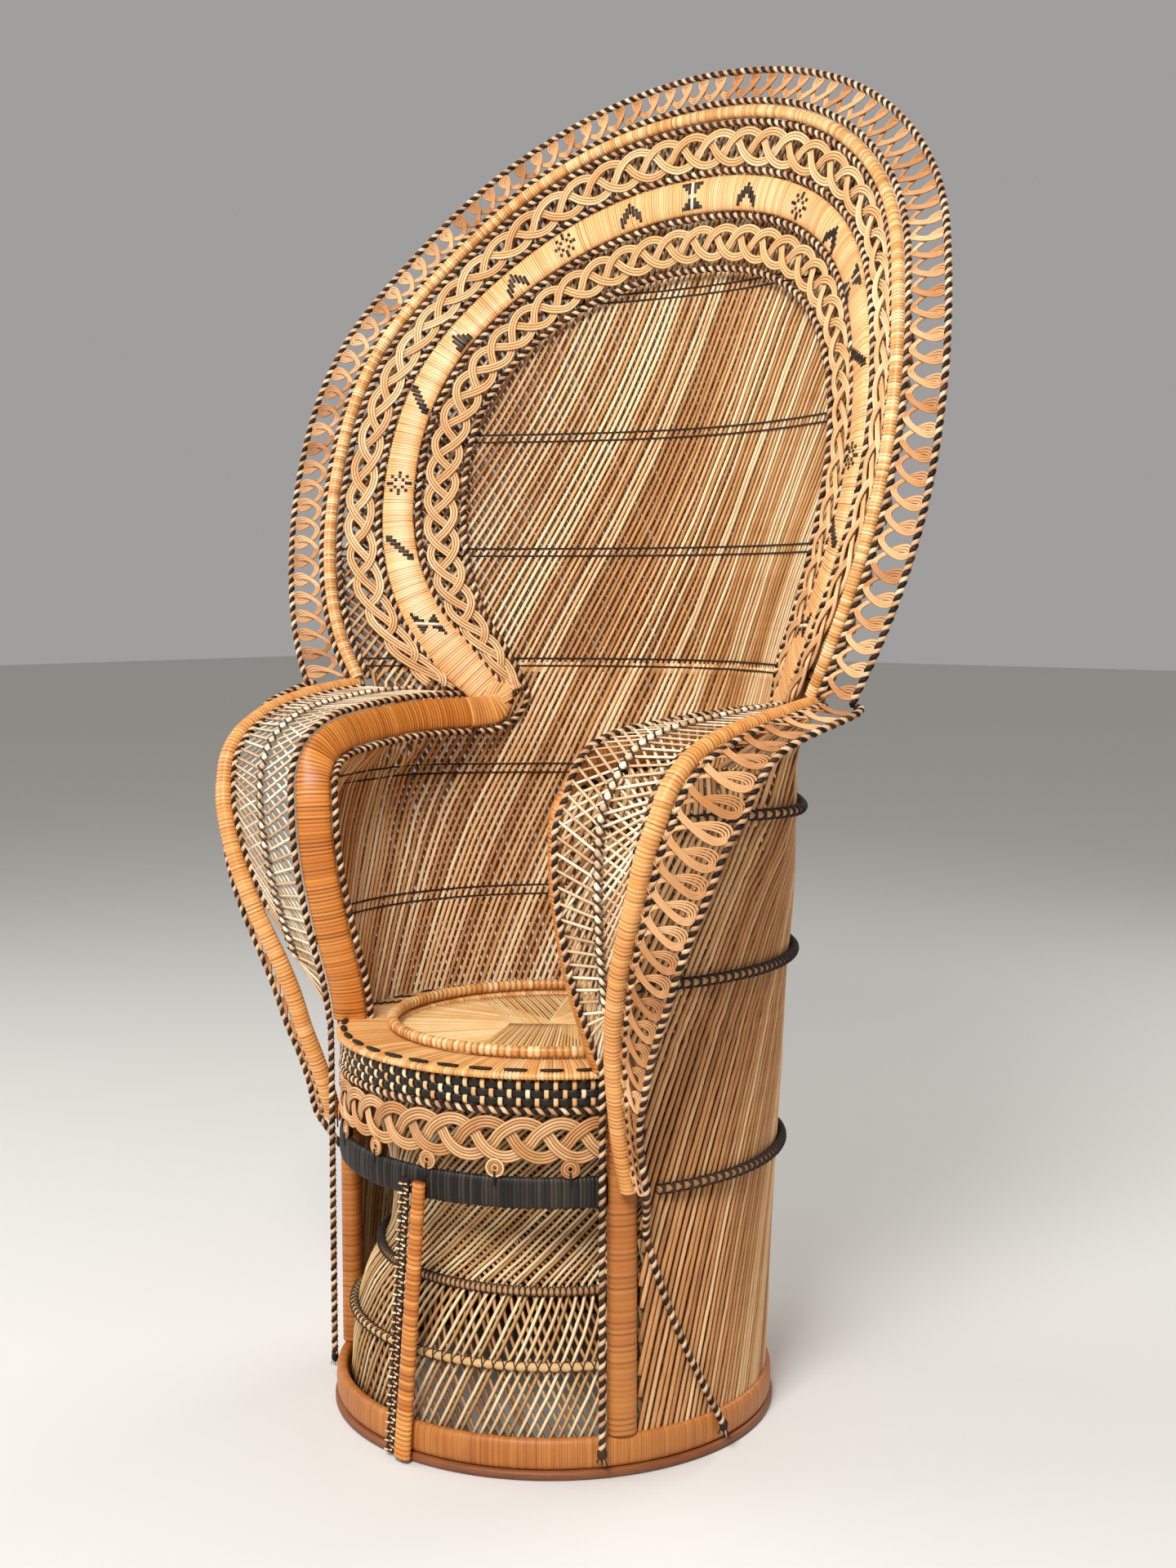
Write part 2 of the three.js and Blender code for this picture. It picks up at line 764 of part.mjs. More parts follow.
// The hoop's width points outwards where it stands, and mostly upwards where it runs back
const armTilt = 2.5 * baseRadius;
const armTiltStartShare = 0.82;
const armHints = armLine.map((point) => {
  const rise = (point.z - armBottom) / (armTop - armBottom);
  const tiltShare = smooth((rise - armTiltStartShare) / (1 - armTiltStartShare));
  return new THREE.Vector3(point.x, point.y, armTilt * tiltShare);
});
const armFrames = levelFrames(armLine, armHints);

// The angle from the front at which the arm's hoop stands at a height
function armAngleAt(height) {
  for (let i = 1; i < armLine.length; i += 1) {
    if (armLine[i].z >= height) {
      const share = (height - armLine[i - 1].z) / (armLine[i].z - armLine[i - 1].z);
      const place = armLine[i - 1].clone().lerp(armLine[i], Math.max(0, share));
      return Math.atan2(place.x, -place.y);
    }
  }
  return Math.PI / 2;
}

// The tube: two layers of leaning reeds round the back and sides, from the base to the arms

// Height between the base band and the tube's top, and outer radius as a share of the base radius
const tubeRadiusShares = [
  [0, 0.968],
  [0.08, 0.976],
  [0.28, 0.996],
  [0.48, 1.028],
  [0.63, 1.048],
  [0.775, 1.084],
  [0.86, 1.112],
  [1, 1.14],
];
const tubeColumns = 34;
const tubeRows = 14;
const blendStartShare = 0.72;
// Near its top each arm curls inwards to its hoop
const armCurlShare = 0.88;
const armCurlRadiusShare = 0.93;
const backAngle = THREE.MathUtils.degToRad(68);
const sideAngle = THREE.MathUtils.degToRad(96);
const searchSteps = 30;

// How far the fan sheet's front lies from the chair's axis, at an angle from the back
function fanReach(fromBack, z) {
  let near = 0;
  let far = 2 * baseRadius;
  for (let step = 0; step < searchSteps; step += 1) {
    const middle = (near + far) / 2;
    const past = middle * Math.cos(fromBack) - fanFaceY(middle * Math.sin(fromBack), z) - sheetFront;
    if (past > 0) {
      far = middle;
    } else {
      near = middle;
    }
  }
  return near;
}

// The tube's inner radius at an angle from the back
function tubeRadius(fromBack, z) {
  const share = (z - pedestalBottom) / (tubeTop - pedestalBottom);
  const round = baseRadius * readTable(tubeRadiusShares, share, 1) - sheetThickness;
  const sideways = smooth((sideAngle - Math.abs(fromBack)) / (sideAngle - backAngle));
  const backWeight = sideways * smooth((share - blendStartShare) / (1 - blendStartShare));
  const armWeight = (1 - sideways) * smooth((share - armCurlShare) / (1 - armCurlShare));
  const curled = mix(round, baseRadius * armCurlRadiusShare, armWeight);
  return backWeight > 0 ? mix(curled, fanReach(fromBack, z), backWeight) : curled;
}

const postEdgeAngle = postAngle + (postWidth / 2 + clearance) / postRadius;
const edgeTurnHeight = 40;
const tubeEdgeSpare = 2;
// The edge keeps clear of the arm's hoop where that leans back above it
const tubeEdgeLift = 17;

// The angle from the front at which the tube's edge stands at a height
function tubeEdgeAngle(z) {
  const ahead = (armHoopThickness / 2 + tubeEdgeSpare) / baseRadius;
  const arm = Math.max(armAngleAt(z - tubeEdgeLift), armAngleAt(z + tubeEdgeLift)) + ahead;
  const share = smooth((z - seatHeight) / edgeTurnHeight);
  return Math.max(mix(postEdgeAngle, arm, share), z > armBottom ? arm : postEdgeAngle);
}

function tubePoint(fromBack, z, outwards) {
  return aroundPoint(tubeRadius(fromBack, z) + outwards, Math.PI - fromBack, z);
}

const tubeSideTop = armTop - armHoopWidth / 2 - 2 * cordRadius - 2 * lineClearance;

function tubeGrid(outwards) {
  const rows = [];
  for (let row = 0; row <= tubeRows; row += 1) {
    const points = [];
    const rowShare = row / tubeRows;
    const edge = Math.PI - tubeEdgeAngle(mix(pedestalBottom, tubeSideTop, rowShare));
    for (let column = 0; column <= tubeColumns; column += 1) {
      const fromBack = mix(-edge, edge, column / tubeColumns);
      const sideShare = smooth((Math.abs(fromBack) - backAngle) / (sideAngle - backAngle));
      const z = mix(pedestalBottom, mix(tubeTop, tubeSideTop, sideShare), rowShare);
      points.push(tubePoint(fromBack, z, outwards));
    }
    rows.push(points);
  }
  return rows;
}

const tubeOutside = tubeGrid(sheetThickness);

function makeTube() {
  addPiece('tube_sheet', sheet(tubeGrid(0), tubeOutside), reedColour, 0.6);
}

// Three lashed hoops round the outside of the tube

const tubeHoopRadius = 4.5;
const tubeHoopEndGap = 15;
const tubeHoopSpare = 0.6;
const lowHoopBelowSeat = 125;
const middleHoopAboveSeat = 89;
const highHoopBelowArm = 110;
const tubeHoopHeights = {
  low: seatHeight - lowHoopBelowSeat,
  middle: seatHeight + middleHoopAboveSeat,
  high: armHeight - highHoopBelowArm,
};

// Where the line between two of the tube's outer points is at a height
function atHeight(low, high, z) {
  return low.clone().lerp(high, (z - low.z) / (high.z - low.z));
}

// The outer points below and above a height on a column of the tube, and the place between them
function onTube(column, z) {
  const row = tubeOutside.findIndex((points) => points[column].z >= z);
  const low = tubeOutside[row - 1][column];
  const high = tubeOutside[row][column];
  return { row, low, high, place: atHeight(low, high, z) };
}

// How far the crease across the wall between a column and the next stands off the straight line
function creaseAt(column, z) {
  const { row, low, place } = onTube(column, z);
  const crease = atHeight(low, tubeOutside[row][column + 1], z);
  const straight = new THREE.Line3(place, onTube(column + 1, z).place);
  return crease.distanceTo(straight.closestPointToPoint(crease, true, new THREE.Vector3()));
}

// The place level with one on the tube's wall and clear of the wall
function besideTube(column, z) {
  const { low, high, place } = onTube(column, z);
  const before = Math.max(0, column - 1);
  const after = Math.min(tubeColumns, column + 1);
  const aside = onTube(after, z).place.sub(onTube(before, z).place);
  const outwards = high.clone().sub(low).cross(aside).normalize();
  const level = Math.hypot(outwards.x, outwards.y);
  outwards.z = 0;
  const crease = Math.max(creaseAt(before, z), creaseAt(after - 1, z));
  return place.addScaledVector(outwards, (tubeHoopSpare + tubeHoopRadius + crease) / level ** 2);
}

function makeTubeHoops() {
  Object.entries(tubeHoopHeights).forEach(([level, z]) => {
    const points = tubeOutside[0].map((point, column) => besideTube(column, z));
    [[0, 1], [tubeColumns, tubeColumns - 1]].forEach(([end, inner]) => {
      points[end].lerp(points[inner], tubeHoopEndGap / points[end].distanceTo(points[inner]));
    });
    const up = points.map(() => new THREE.Vector3(0, 0, 1));
    addPiece(`tube_hoop_${level}`,
      rod(lineFrames(points, up), tubeHoopRadius, tubeHoopRadius, cordSides), darkTwine, 0.6);
  });
}

// Wings: on each side an outer hoop, a leaf of lattice between it and the arm, and a fringe

const wingHoopRadius = 9;
const wingHoopSides = 8;
const wingSteps = 22;
// Sideways as a share of the base radius, from the foot back to the fan's hoop, and up to it
const wingRouteShares = [
  [0.9, -0.11, 0.11],
  [0.932, -0.223, 0.215],
  [0.968, -0.324, 0.33],
  [1.024, -0.41, 0.42],
  [1.092, -0.491, 0.512],
  [1.18, -0.544, 0.63],
  [1.244, -0.544, 0.743],
  [1.272, -0.497, 0.795],
  [1.288, -0.444, 0.845],
  [1.304, -0.317, 0.893],
  [1.316, -0.123, 0.929],
  [1.348, 0.144, 0.958],
  [1.364, 0.474, 0.978],
  [1.37, 0.758, 0.992],
  [1.356, 1, 1],
];
const wingFootDrop = 122;
const wingFootHeight = seatHeight - wingFootDrop;
const wingTop = wingHeight - clearance - wingHoopRadius * Math.cos(Math.PI / wingHoopSides);

function wingRoute() {
  const besidePost = postRadius + postDepth / 2 + clearance + wingHoopRadius;
  const foot = aroundPoint(besidePost, postAngle, wingFootHeight);
  const corners = wingRouteShares.map(([x, back, rise]) => new THREE.Vector3(
    baseRadius * x, mix(foot.y, hoopLine[0].y, back), mix(wingFootHeight, wingTop, rise)));
  corners.unshift(foot);
  return new THREE.CatmullRomCurve3(corners, false, 'centripetal').getPoints(wingSteps);
}

const wingLine = wingRoute();

// For each wing point, the arm point that the leaf of lattice joins it to
const leafStartShare = 0.3;

function leafArmFrame(i) {
  const share = Math.max(0, i / wingSteps - leafStartShare) / (1 - leafStartShare);
  const place = share * armSteps;
  const low = Math.min(armSteps - 1, Math.floor(place));
  const part = place - low;
  const centre = armFrames[low].centre.clone().lerp(armFrames[low + 1].centre, part);
  const across = armFrames[low].across.clone().lerp(armFrames[low + 1].across, part).normalize();
  return { centre, across };
}

const leafHalfThickness = 3.5;
// Gaps on the wings, where the lines bend less
const wingClearance = 0.3;
const ribHalfWidth = 6;
const ribHalfThickness = 4;
const armCordDistance = armHoopWidth / 2 + cordRadius + lineClearance;
const wingCordDistance = wingHoopRadius + cordRadius + wingClearance;
// Along the wing from its foot, the fringe's whole width and how far it turns to the back
const wingFringeShares = [
  [0, 0.43, -0.1],
  [0.09, 0.45, 0],
  [0.17, 0.66, 0.17],
  [0.25, 0.86, 0.29],
  [0.35, 1, 0.42],
  [0.44, 1.18, 0.59],
  [0.53, 1.32, 0.7],
  [0.61, 1.36, 0.72],
  [0.7, 1.31, 0.68],
  [0.79, 1.26, 0.55],
  [0.88, 1.18, 0.3],
  [1, 1.1, -0.2],
];

function wingFringeWay(share) {
  const turn = readTable(wingFringeShares, share, 2);
  return new THREE.Vector3(Math.sqrt(1 - turn * turn), turn, 0);
}

// The edge cord's end runs on over the tube, down and back to the base band
const edgeTailSteps = 10;
const edgeTailTurn = THREE.MathUtils.degToRad(24);
const edgeTailGap = 21;
const edgeTailTop = wingFootHeight - edgeTailGap;
const edgeTailBottom = 30;

function edgeTail() {
  const points = [];
  for (let step = 0; step < edgeTailSteps; step += 1) {
    const share = step / edgeTailSteps;
    const z = mix(edgeTailBottom, edgeTailTop, share);
    const angle = postEdgeAngle + edgeTailTurn * (1 - share) ** 1.5;
    const rise = (z - pedestalBottom) / (tubeTop - pedestalBottom);
    const tube = baseRadius * readTable(tubeRadiusShares, rise, 1);
    const radius = Math.max(tube, baseRadius) + clearance + cordRadius;
    points.push(aroundPoint(radius, angle, z));
  }
  return points;
}

const postTailBottom = 30;
const postTailGap = 25;

// The cord outside the arm runs on down beside the post, outside the seat and the base
function postTail(foot) {
  const way = new THREE.Vector3(foot.x, foot.y, 0).normalize();
  const radius = baseRadius + clearance + cordRadius;
  return [postTailBottom, (postTailBottom + foot.z) / 2, foot.z - postTailGap].map((z) => {
    const point = way.clone().multiplyScalar(radius);
    point.z = z;
    return point;
  });
}

function makeWings() {
  const wingOut = wingLine.map((point, i) => wingFringeWay(i / wingSteps));
  const edgeCordLine = wingLine.map((point, i) => point.clone().addScaledVector(
    wingOut[i], fringeSideWidth * readTable(wingFringeShares, i / wingSteps, 1)));
  const armOuter = armFrames.map((frame) => offset(frame, armCordDistance, 0));
  const armInner = armFrames.map((frame) => offset(frame, -armCordDistance, 0));
  const leafInner = wingLine.map((point, i) => {
    const frame = leafArmFrame(i);
    return frame.centre.clone().addScaledVector(frame.across, armCordDistance);
  });
  const first = Math.round(leafStartShare * wingSteps);
  const wingInner = lineBeside(wingLine, leafInner, wingCordDistance);
  const wingOuter = lineBeside(wingLine, edgeCordLine, wingCordDistance);
  [1, -1].forEach((side) => {
    const label = sideNames[side];
    const cord = (name, line) => {
      const points = onSide(line, side);
      const hints = points.map((point) => new THREE.Vector3(point.x, point.y, 0));
      addPiece(`${label}_${name}`, rod(levelFrames(points, hints), cordRadius, cordRadius, cordSides),
        cordColour, 0.6);
    };
    const frames = armFrames.map((frame) => {
      const [centre, along, across] = onSide([frame.centre, frame.along, frame.across], side);
      return { centre, along, across, through: along.clone().cross(across), level: frame.level };
    });
    addPiece(`${label}_arm_hoop`, rod(frames, armHoopWidth / 2, armHoopThickness / 2, armHoopSides),
      honeyCane, 0.4);
    cord('arm_inner_cord', armInner);
    cord('arm_outer_cord', [...postTail(armOuter[0]), ...armOuter]);
    const wingPoints = onSide(wingLine, side);
    const wingFrames = lineFrames(wingPoints, onSide(wingOut, side));
    addPiece(`${label}_wing_hoop`, rod(wingFrames, wingHoopRadius, wingHoopRadius, wingHoopSides),
      honeyCane, 0.4);
    cord('wing_inner_cord', wingInner.slice(first));
    cord('wing_outer_cord', wingOuter);
    cord('wing_edge_cord', [...edgeTail(), ...edgeCordLine]);
    const outer = onSide(wingInner, side).slice(first);
    const inner = onSide(leafInner, side).slice(first);
    const middle = outer.map((point, i) => point.clone().lerp(inner[i], 0.5));
    addPiece(`${label}_leaf_outer_lattice`,
      bandBetween(outer, middle, cordClear, ribHalfWidth + wingClearance, leafHalfThickness),
      paleCane, 0.5);
    const armClear = cordClear + 2 * lineClearance;
    addPiece(`${label}_leaf_inner_lattice`,
      bandBetween(middle, inner, ribHalfWidth + wingClearance, armClear, leafHalfThickness),
      paleCane, 0.5);
    const ribFrames = lineFrames(middle, outer.map((point, i) => point.clone().sub(inner[i])));
    addPiece(`${label}_leaf_rib`, rod(ribFrames, ribHalfWidth, ribHalfThickness, cordSides), darkTwine, 0.6);
    const edge = onSide(edgeCordLine, side);
    const hoop = onSide(wingLine, side);
    addPiece(`${label}_wing_fringe`,
      bandBetween(edge, hoop, cordClear + wingClearance, wingCordDistance + cordClear, braidHalfThickness),
      paleCane, 0.5);
  });
}

makeBase();
makePedestal();
makePosts();
makeSeat();
makeSeatFront();
makeCentreStick();
makeFanBands();
makeFanSheet();
makeTube();
makeTubeHoops();
makeWings();

// The origin lies under the middle of the chair's bounding box
group.updateMatrixWorld(true);
const bounds = new THREE.Box3().setFromObject(group);
const middleY = (bounds.min.y + bounds.max.y) / 2;
group.children.forEach((piece) => piece.geometry.translate(0, -middleY, -bounds.min.z));

export default group;
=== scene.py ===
"""A woven rattan peacock chair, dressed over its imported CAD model. Lengths are in metres."""

import math
import random
import re

import bmesh
import bpy
import numpy as np
from mathutils import Matrix, Vector
from mathutils.bvhtree import BVHTree


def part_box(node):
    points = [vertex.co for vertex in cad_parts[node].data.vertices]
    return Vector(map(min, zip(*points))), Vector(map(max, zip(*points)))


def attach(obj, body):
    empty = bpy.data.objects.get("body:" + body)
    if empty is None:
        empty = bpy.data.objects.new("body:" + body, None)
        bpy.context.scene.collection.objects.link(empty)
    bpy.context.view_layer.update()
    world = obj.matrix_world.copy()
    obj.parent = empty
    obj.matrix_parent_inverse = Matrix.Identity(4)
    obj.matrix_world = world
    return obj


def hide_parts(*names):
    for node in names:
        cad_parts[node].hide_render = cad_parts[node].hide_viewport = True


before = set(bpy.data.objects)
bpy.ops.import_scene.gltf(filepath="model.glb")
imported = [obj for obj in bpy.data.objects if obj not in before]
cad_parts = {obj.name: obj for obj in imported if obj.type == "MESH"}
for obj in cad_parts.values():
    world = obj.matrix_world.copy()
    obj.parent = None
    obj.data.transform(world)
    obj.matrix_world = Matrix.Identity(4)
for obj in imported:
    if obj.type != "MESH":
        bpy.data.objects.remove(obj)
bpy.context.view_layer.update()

# Base. A rattan pole bent into a hoop lies on the floor, and a band of split cane is wound over
# the foot of the chair just above it, strip beside strip, with dark slits where strips have parted;
# the darkness of the slits is grime and painted shade.

MM = 0.001
UP = np.array([0, 0, 1.0])
BASE_POLE = 12 * MM
BASE_BAND = 13 * MM
BASE_STRIP = 2.6 * MM
FIBRE_SHARE = 0.7
STAIN_SHARE = 0.8

chance = random.Random(11)


def linear(hex_colour):
    """An sRGB hex colour as linear RGBA."""
    channels = [int(hex_colour[i:i + 2], 16) / 255 for i in (1, 3, 5)]
    return [c / 12.92 if c <= 0.04045 else ((c + 0.055) / 1.055) ** 2.4 for c in channels] + [1.0]


def add_node(material, kind, settings=None, **inputs):
    """Adds a node. An input is a value, or another node's output to link."""
    node = material.node_tree.nodes.new(kind)
    for name, value in (settings or {}).items():
        setattr(node, name, value)
    for name, value in inputs.items():
        numbered = name[0] == "i" and name[1:].isdigit()
        socket = node.inputs[int(name[1:])] if numbered else node.inputs[name.replace("_", " ")]
        if isinstance(value, bpy.types.NodeSocket):
            material.node_tree.links.new(value, socket)
        else:
            socket.default_value = value
    return node


def cane_material(name, colours, grain, roughness, coat=0.0, groove="#3a1c0c", shine=0.4):
    """Split cane or reed: each strip has its own tone, fine fibres run along it, and a groove colour is
    mixed in between neighbours as grime and painted shade, and on each strand's far side as painted shade.
    grain is how many fibres show in a metre along the piece's UV, and once round it."""
    material = bpy.data.materials.new(name)
    material.use_nodes = True
    shader = material.node_tree.nodes["Principled BSDF"]
    uv = add_node(material, "ShaderNodeUVMap", {"uv_map": "strand"}).outputs["UV"]
    stretched = add_node(material, "ShaderNodeMapping", Vector=uv, Scale=(*grain, 1.0))
    fibres = add_node(
        material, "ShaderNodeTexNoise", Vector=stretched.outputs["Vector"], Scale=1.0, Detail=4.0,
        Roughness=0.6).outputs["Fac"]
    place = add_node(material, "ShaderNodeTexCoord").outputs["Object"]
    stains = add_node(
        material, "ShaderNodeTexNoise", Vector=place, Scale=7.0, Detail=5.0, Roughness=0.65)
    tone = add_node(material, "ShaderNodeAttribute", {"attribute_name": "tone"})
    lit_and_unsoiled = add_node(material, "ShaderNodeAttribute", {"attribute_name": "lit_and_unsoiled"})
    mixed = add_node(
        material, "ShaderNodeMath", {"operation": "MULTIPLY_ADD"},
        i0=fibres, i1=FIBRE_SHARE, i2=tone.outputs["Fac"])
    aged = add_node(
        material, "ShaderNodeMath", {"operation": "MULTIPLY_ADD"},
        i0=stains.outputs["Fac"], i1=STAIN_SHARE, i2=mixed.outputs["Value"])
    spread = add_node(
        material, "ShaderNodeMapRange", Value=aged.outputs["Value"], From_Min=0.45, From_Max=1.75)
    ramp = add_node(material, "ShaderNodeValToRGB", Fac=spread.outputs["Result"])
    ramp.color_ramp.elements[0].color = linear(colours[0])
    ramp.color_ramp.elements[1].color = linear(colours[2])
    middle = ramp.color_ramp.elements.new(0.5)
    middle.color = linear(colours[1])
    # The groove colour is mixed in where the attribute is low: grime and painted shade in the grooves of
    # windings, painted shade on the far sides of strands.
    grime_and_painted_shade = add_node(
        material, "ShaderNodeMix", {"data_type": "RGBA"}, Factor=lit_and_unsoiled.outputs["Fac"], A=linear(groove),
        B=ramp.outputs["Color"])
    gloss = add_node(
        material, "ShaderNodeMapRange", Value=fibres, To_Min=roughness - 0.08, To_Max=roughness + 0.12)
    relief = add_node(material, "ShaderNodeBump", Height=fibres, Strength=0.25, Distance=0.4 * MM)
    for socket, source in (
            ("Base Color", grime_and_painted_shade.outputs["Result"]), ("Roughness", gloss.outputs["Result"]),
            ("Normal", relief.outputs["Normal"])):
        material.node_tree.links.new(source, shader.inputs[socket])
    shader.inputs["IOR"].default_value = 1.5
    shader.inputs["Specular IOR Level"].default_value = shine
    shader.inputs["Coat Weight"].default_value = coat
    shader.inputs["Coat Roughness"].default_value = 0.35
    return material


def unit(vectors):
    """Each vector at a length of 1."""
    return vectors / np.maximum(np.linalg.norm(vectors, axis=-1, keepdims=True), 1e-12)


def draws(low, high, count):
    """A row of random draws."""
    return np.array([chance.uniform(low, high) for _ in range(count)])


def distances(points):
    """How far along a line each of its points lies."""
    return np.concatenate([[0.0], np.cumsum(np.linalg.norm(np.diff(points[:, :3], axis=0), axis=1))])


def rounded(values, steps=8):
    """A smooth line through rows of values, with the given number of steps between neighbours."""
    padded = np.vstack([2 * values[0] - values[1], values, 2 * values[-1] - values[-2]])
    share = np.arange(steps)[:, None] / steps
    parts = []
    for before, start, end, after in zip(padded, padded[1:], padded[2:], padded[3:]):
        parts.append(0.5 * (2 * start + (end - before) * share
                            + (2 * before - 5 * start + 4 * end - after) * share ** 2
                            + (3 * start - before - 3 * end + after) * share ** 3))
    return np.vstack(parts + [values[-1:]])


def spaced(rows, count):
    """Rows of values taken at count even steps of the line that their first three columns make."""
    along = distances(rows)
    places = np.linspace(0, along[-1], count)
    return np.column_stack([np.interp(places, along, column) for column in rows.T])


def arc(radius, start, end, height, steps=96):
    """A level arc round the chair's axis, its angles measured from the back towards the right."""
    angle = np.linspace(start, end, steps + 1)
    return np.column_stack([
        radius * np.sin(angle), AXIS_Y + radius * np.cos(angle), np.full(steps + 1, height)])


def away_from_axis(line):
    """Level directions from the chair's axis to the points of a line."""
    flat = line[:, :3] - np.array([0.0, AXIS_Y, 0.0])
    flat[:, 2] = 0
    return unit(flat)


def beside_and_above(line, out, closed=False):
    """Directions square to a line, out being roughly where its upper side faces."""
    if closed:
        ahead = np.roll(line, -1, axis=0) - np.roll(line, 1, axis=0)
    else:
        ahead = np.gradient(line, axis=0)
    ahead = unit(ahead)
    side = unit(np.cross(np.broadcast_to(out, line.shape), ahead))
    return side, np.cross(ahead, side)


def round_spokes(side, up, turn):
    """Directions that turn round a line."""
    return side * np.cos(turn)[:, None] + up * np.sin(turn)[:, None]


class Weave:
    """Gathers swept strands of cane into one piece."""

    def __init__(self):
        self.points = []
        self.faces = []
        self.uv = []
        self.tone = []
        self.lit_and_unsoiled = []
        self.finish = []
        self.size = 0

    def strand(self, line, out, width, height, sides=6, tone=None, lit_and_unsoiled=1.0, finish=0, closed=False,
               along=None, fullness=2.0, far_side_shade=0.75):
        """Sweeps an oval section along a line. out is the direction in which its height points, tone
        its place in the material's colours, lit_and_unsoiled how far it is kept from the groove colour, which
        stands for grime and painted shade, finish the number of its material, and far_side_shade how dark
        its far side is painted, as painted shade."""
        count = len(line)

        def each(value):
            return np.broadcast_to(np.asarray(value, float), (count,))

        side, up = beside_and_above(line, out, closed)
        turn = math.tau * (np.arange(sides) + 0.5) / sides
        power = 2.0 / fullness
        across = np.sign(np.cos(turn)) * np.abs(np.cos(turn)) ** power
        through = np.sign(np.sin(turn)) * np.abs(np.sin(turn)) ** power
        rings = (line[:, None, :] + side[:, None, :] * (each(width)[:, None] / 2 * across)[:, :, None]
                 + up[:, None, :] * (each(height)[:, None] / 2 * through)[:, :, None])
        self.points.append(rings.reshape(-1, 3))
        u = distances(line) if along is None else along
        here = np.arange(count if closed else count - 1)
        there = (here + 1) % count
        j = np.arange(sides)
        k = (j + 1) % sides
        quads = np.stack([
            here[:, None] * sides + j, here[:, None] * sides + k,
            there[:, None] * sides + k, there[:, None] * sides + j], axis=-1).reshape(-1, 4) + self.size
        u_next = u[there].copy()
        if closed:
            u_next[-1] = u[-1] + (u[1] - u[0])
        low = np.broadcast_to((j / sides), (len(here), sides))
        high = low + 1 / sides
        u_here = np.broadcast_to(u[here][:, None], low.shape)
        u_there = np.broadcast_to(u_next[:, None], low.shape)
        corners = np.stack([
            np.stack([u_here, low], -1), np.stack([u_here, high], -1),
            np.stack([u_there, high], -1), np.stack([u_there, low], -1)], axis=2).reshape(-1, 2)
        self.faces.extend(quads.tolist())
        self.uv.append(corners)
        faces_made = len(quads)
        if not closed:
            for ring, end in ((j[::-1], 0), (j + (count - 1) * sides, -1)):
                self.faces.append((self.size + ring).tolist())
                self.uv.append(np.column_stack([np.full(sides, u[end]), j / sides]))
            faces_made += 2
        shade = chance.uniform(0, 1) if tone is None else tone
        self.tone.append(np.repeat(each(shade), sides))
        # The far side of the section is painted darker, as painted shade.
        seen = 1 - far_side_shade * (0.5 - 0.5 * np.sin(turn))
        self.lit_and_unsoiled.append((each(lit_and_unsoiled)[:, None] * seen).ravel())
        self.finish.extend([finish] * faces_made)
        self.size += count * sides

    def winding(self, rows, pitch, dip, sides=12, finish=0, closed=False, fullness=2.4, groove_lit_and_unsoiled=(0.1, 0.5),
                spread=0.5):
        """Cane wound closely round a core: rows hold a point, an out direction, a width and a height.
        pitch is the length of a turn, dip how deep the grooves between turns are, groove_lit_and_unsoiled
        how far the grooves are kept from the groove colour, which stands for grime and painted shade, and
        spread how far the tones of the turns differ."""
        length = distances(rows)[-1]
        turns = max(3, round(length / pitch))
        steps = spaced(rows, 3 * turns + 1)
        if closed:
            steps = steps[:-1]
        index = np.arange(len(steps))
        groove = index % 3 == 0
        tones = draws(0.5 - spread, 0.5 + spread, turns + 1)
        # How far each groove is kept from the groove colour, which paints in grime and painted shade.
        lit_unsoiled_grooves = draws(*groove_lit_and_unsoiled, turns + 1)
        swell = draws(-0.25, 0.25, turns + 1) * dip
        shrink = np.where(groove, 2 * dip, 0.0) + swell[index // 3]
        place = index / 3 + np.where(index % 3 == 1, -0.1, 0.0) + np.where(index % 3 == 2, 0.1, 0.0)
        self.strand(
            steps[:, :3], steps[:, 3:6], steps[:, 6] - shrink, steps[:, 7] - shrink, sides=sides,
            tone=tones[index // 3], lit_and_unsoiled=np.where(groove, lit_unsoiled_grooves[index // 3], 1.0), finish=finish,
            closed=closed, along=place * pitch, fullness=fullness, far_side_shade=0.0)

    def piece(self, name, slot, materials, *nodes):
        """Makes the gathered strands one object that stands for these CAD nodes."""
        mesh = bpy.data.meshes.new(name)
        mesh.from_pydata(np.vstack(self.points).tolist(), [], self.faces)
        layer = mesh.uv_layers.new(name="strand")
        layer.data.foreach_set("uv", np.vstack(self.uv).astype(np.float32).ravel())
        for label, values in (("tone", self.tone), ("lit_and_unsoiled", self.lit_and_unsoiled)):
            attribute = mesh.attributes.new(label, "FLOAT", "POINT")
            attribute.data.foreach_set("value", np.concatenate(values).astype(np.float32))
        for material in materials:
            mesh.materials.append(material)
        mesh.polygons.foreach_set("material_index", np.array(self.finish, dtype=np.int32))
        mesh.polygons.foreach_set("use_smooth", np.ones(len(self.faces), dtype=bool))
        mesh.update()
        made = bpy.data.objects.new(name, mesh)
        bpy.context.scene.collection.objects.link(made)
        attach(made, "root")
        if nodes:
            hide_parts(*nodes)


def rows_of(line, out, width, height):
    """Puts a line's points, out directions, widths and heights side by side."""
    count = len(line)
    return np.column_stack([
        line, np.broadcast_to(out, (count, 3)), np.broadcast_to(width, (count,)),
        np.broadcast_to(height, (count,))])


def radius_of(node):
    """Half of a node's width."""
    low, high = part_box(node)
    return (high.x - low.x) / 2


def hoop_line(node, thickness, steps=288):
    """The middle line of a level hoop, with its last point on its first."""
    low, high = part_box(node)
    return arc(radius_of(node) - thickness / 2, 0, math.tau, (low.z + high.z) / 2, steps)


base_low, base_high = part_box("base_hoop")
AXIS_Y = (base_low.y + base_high.y) / 2

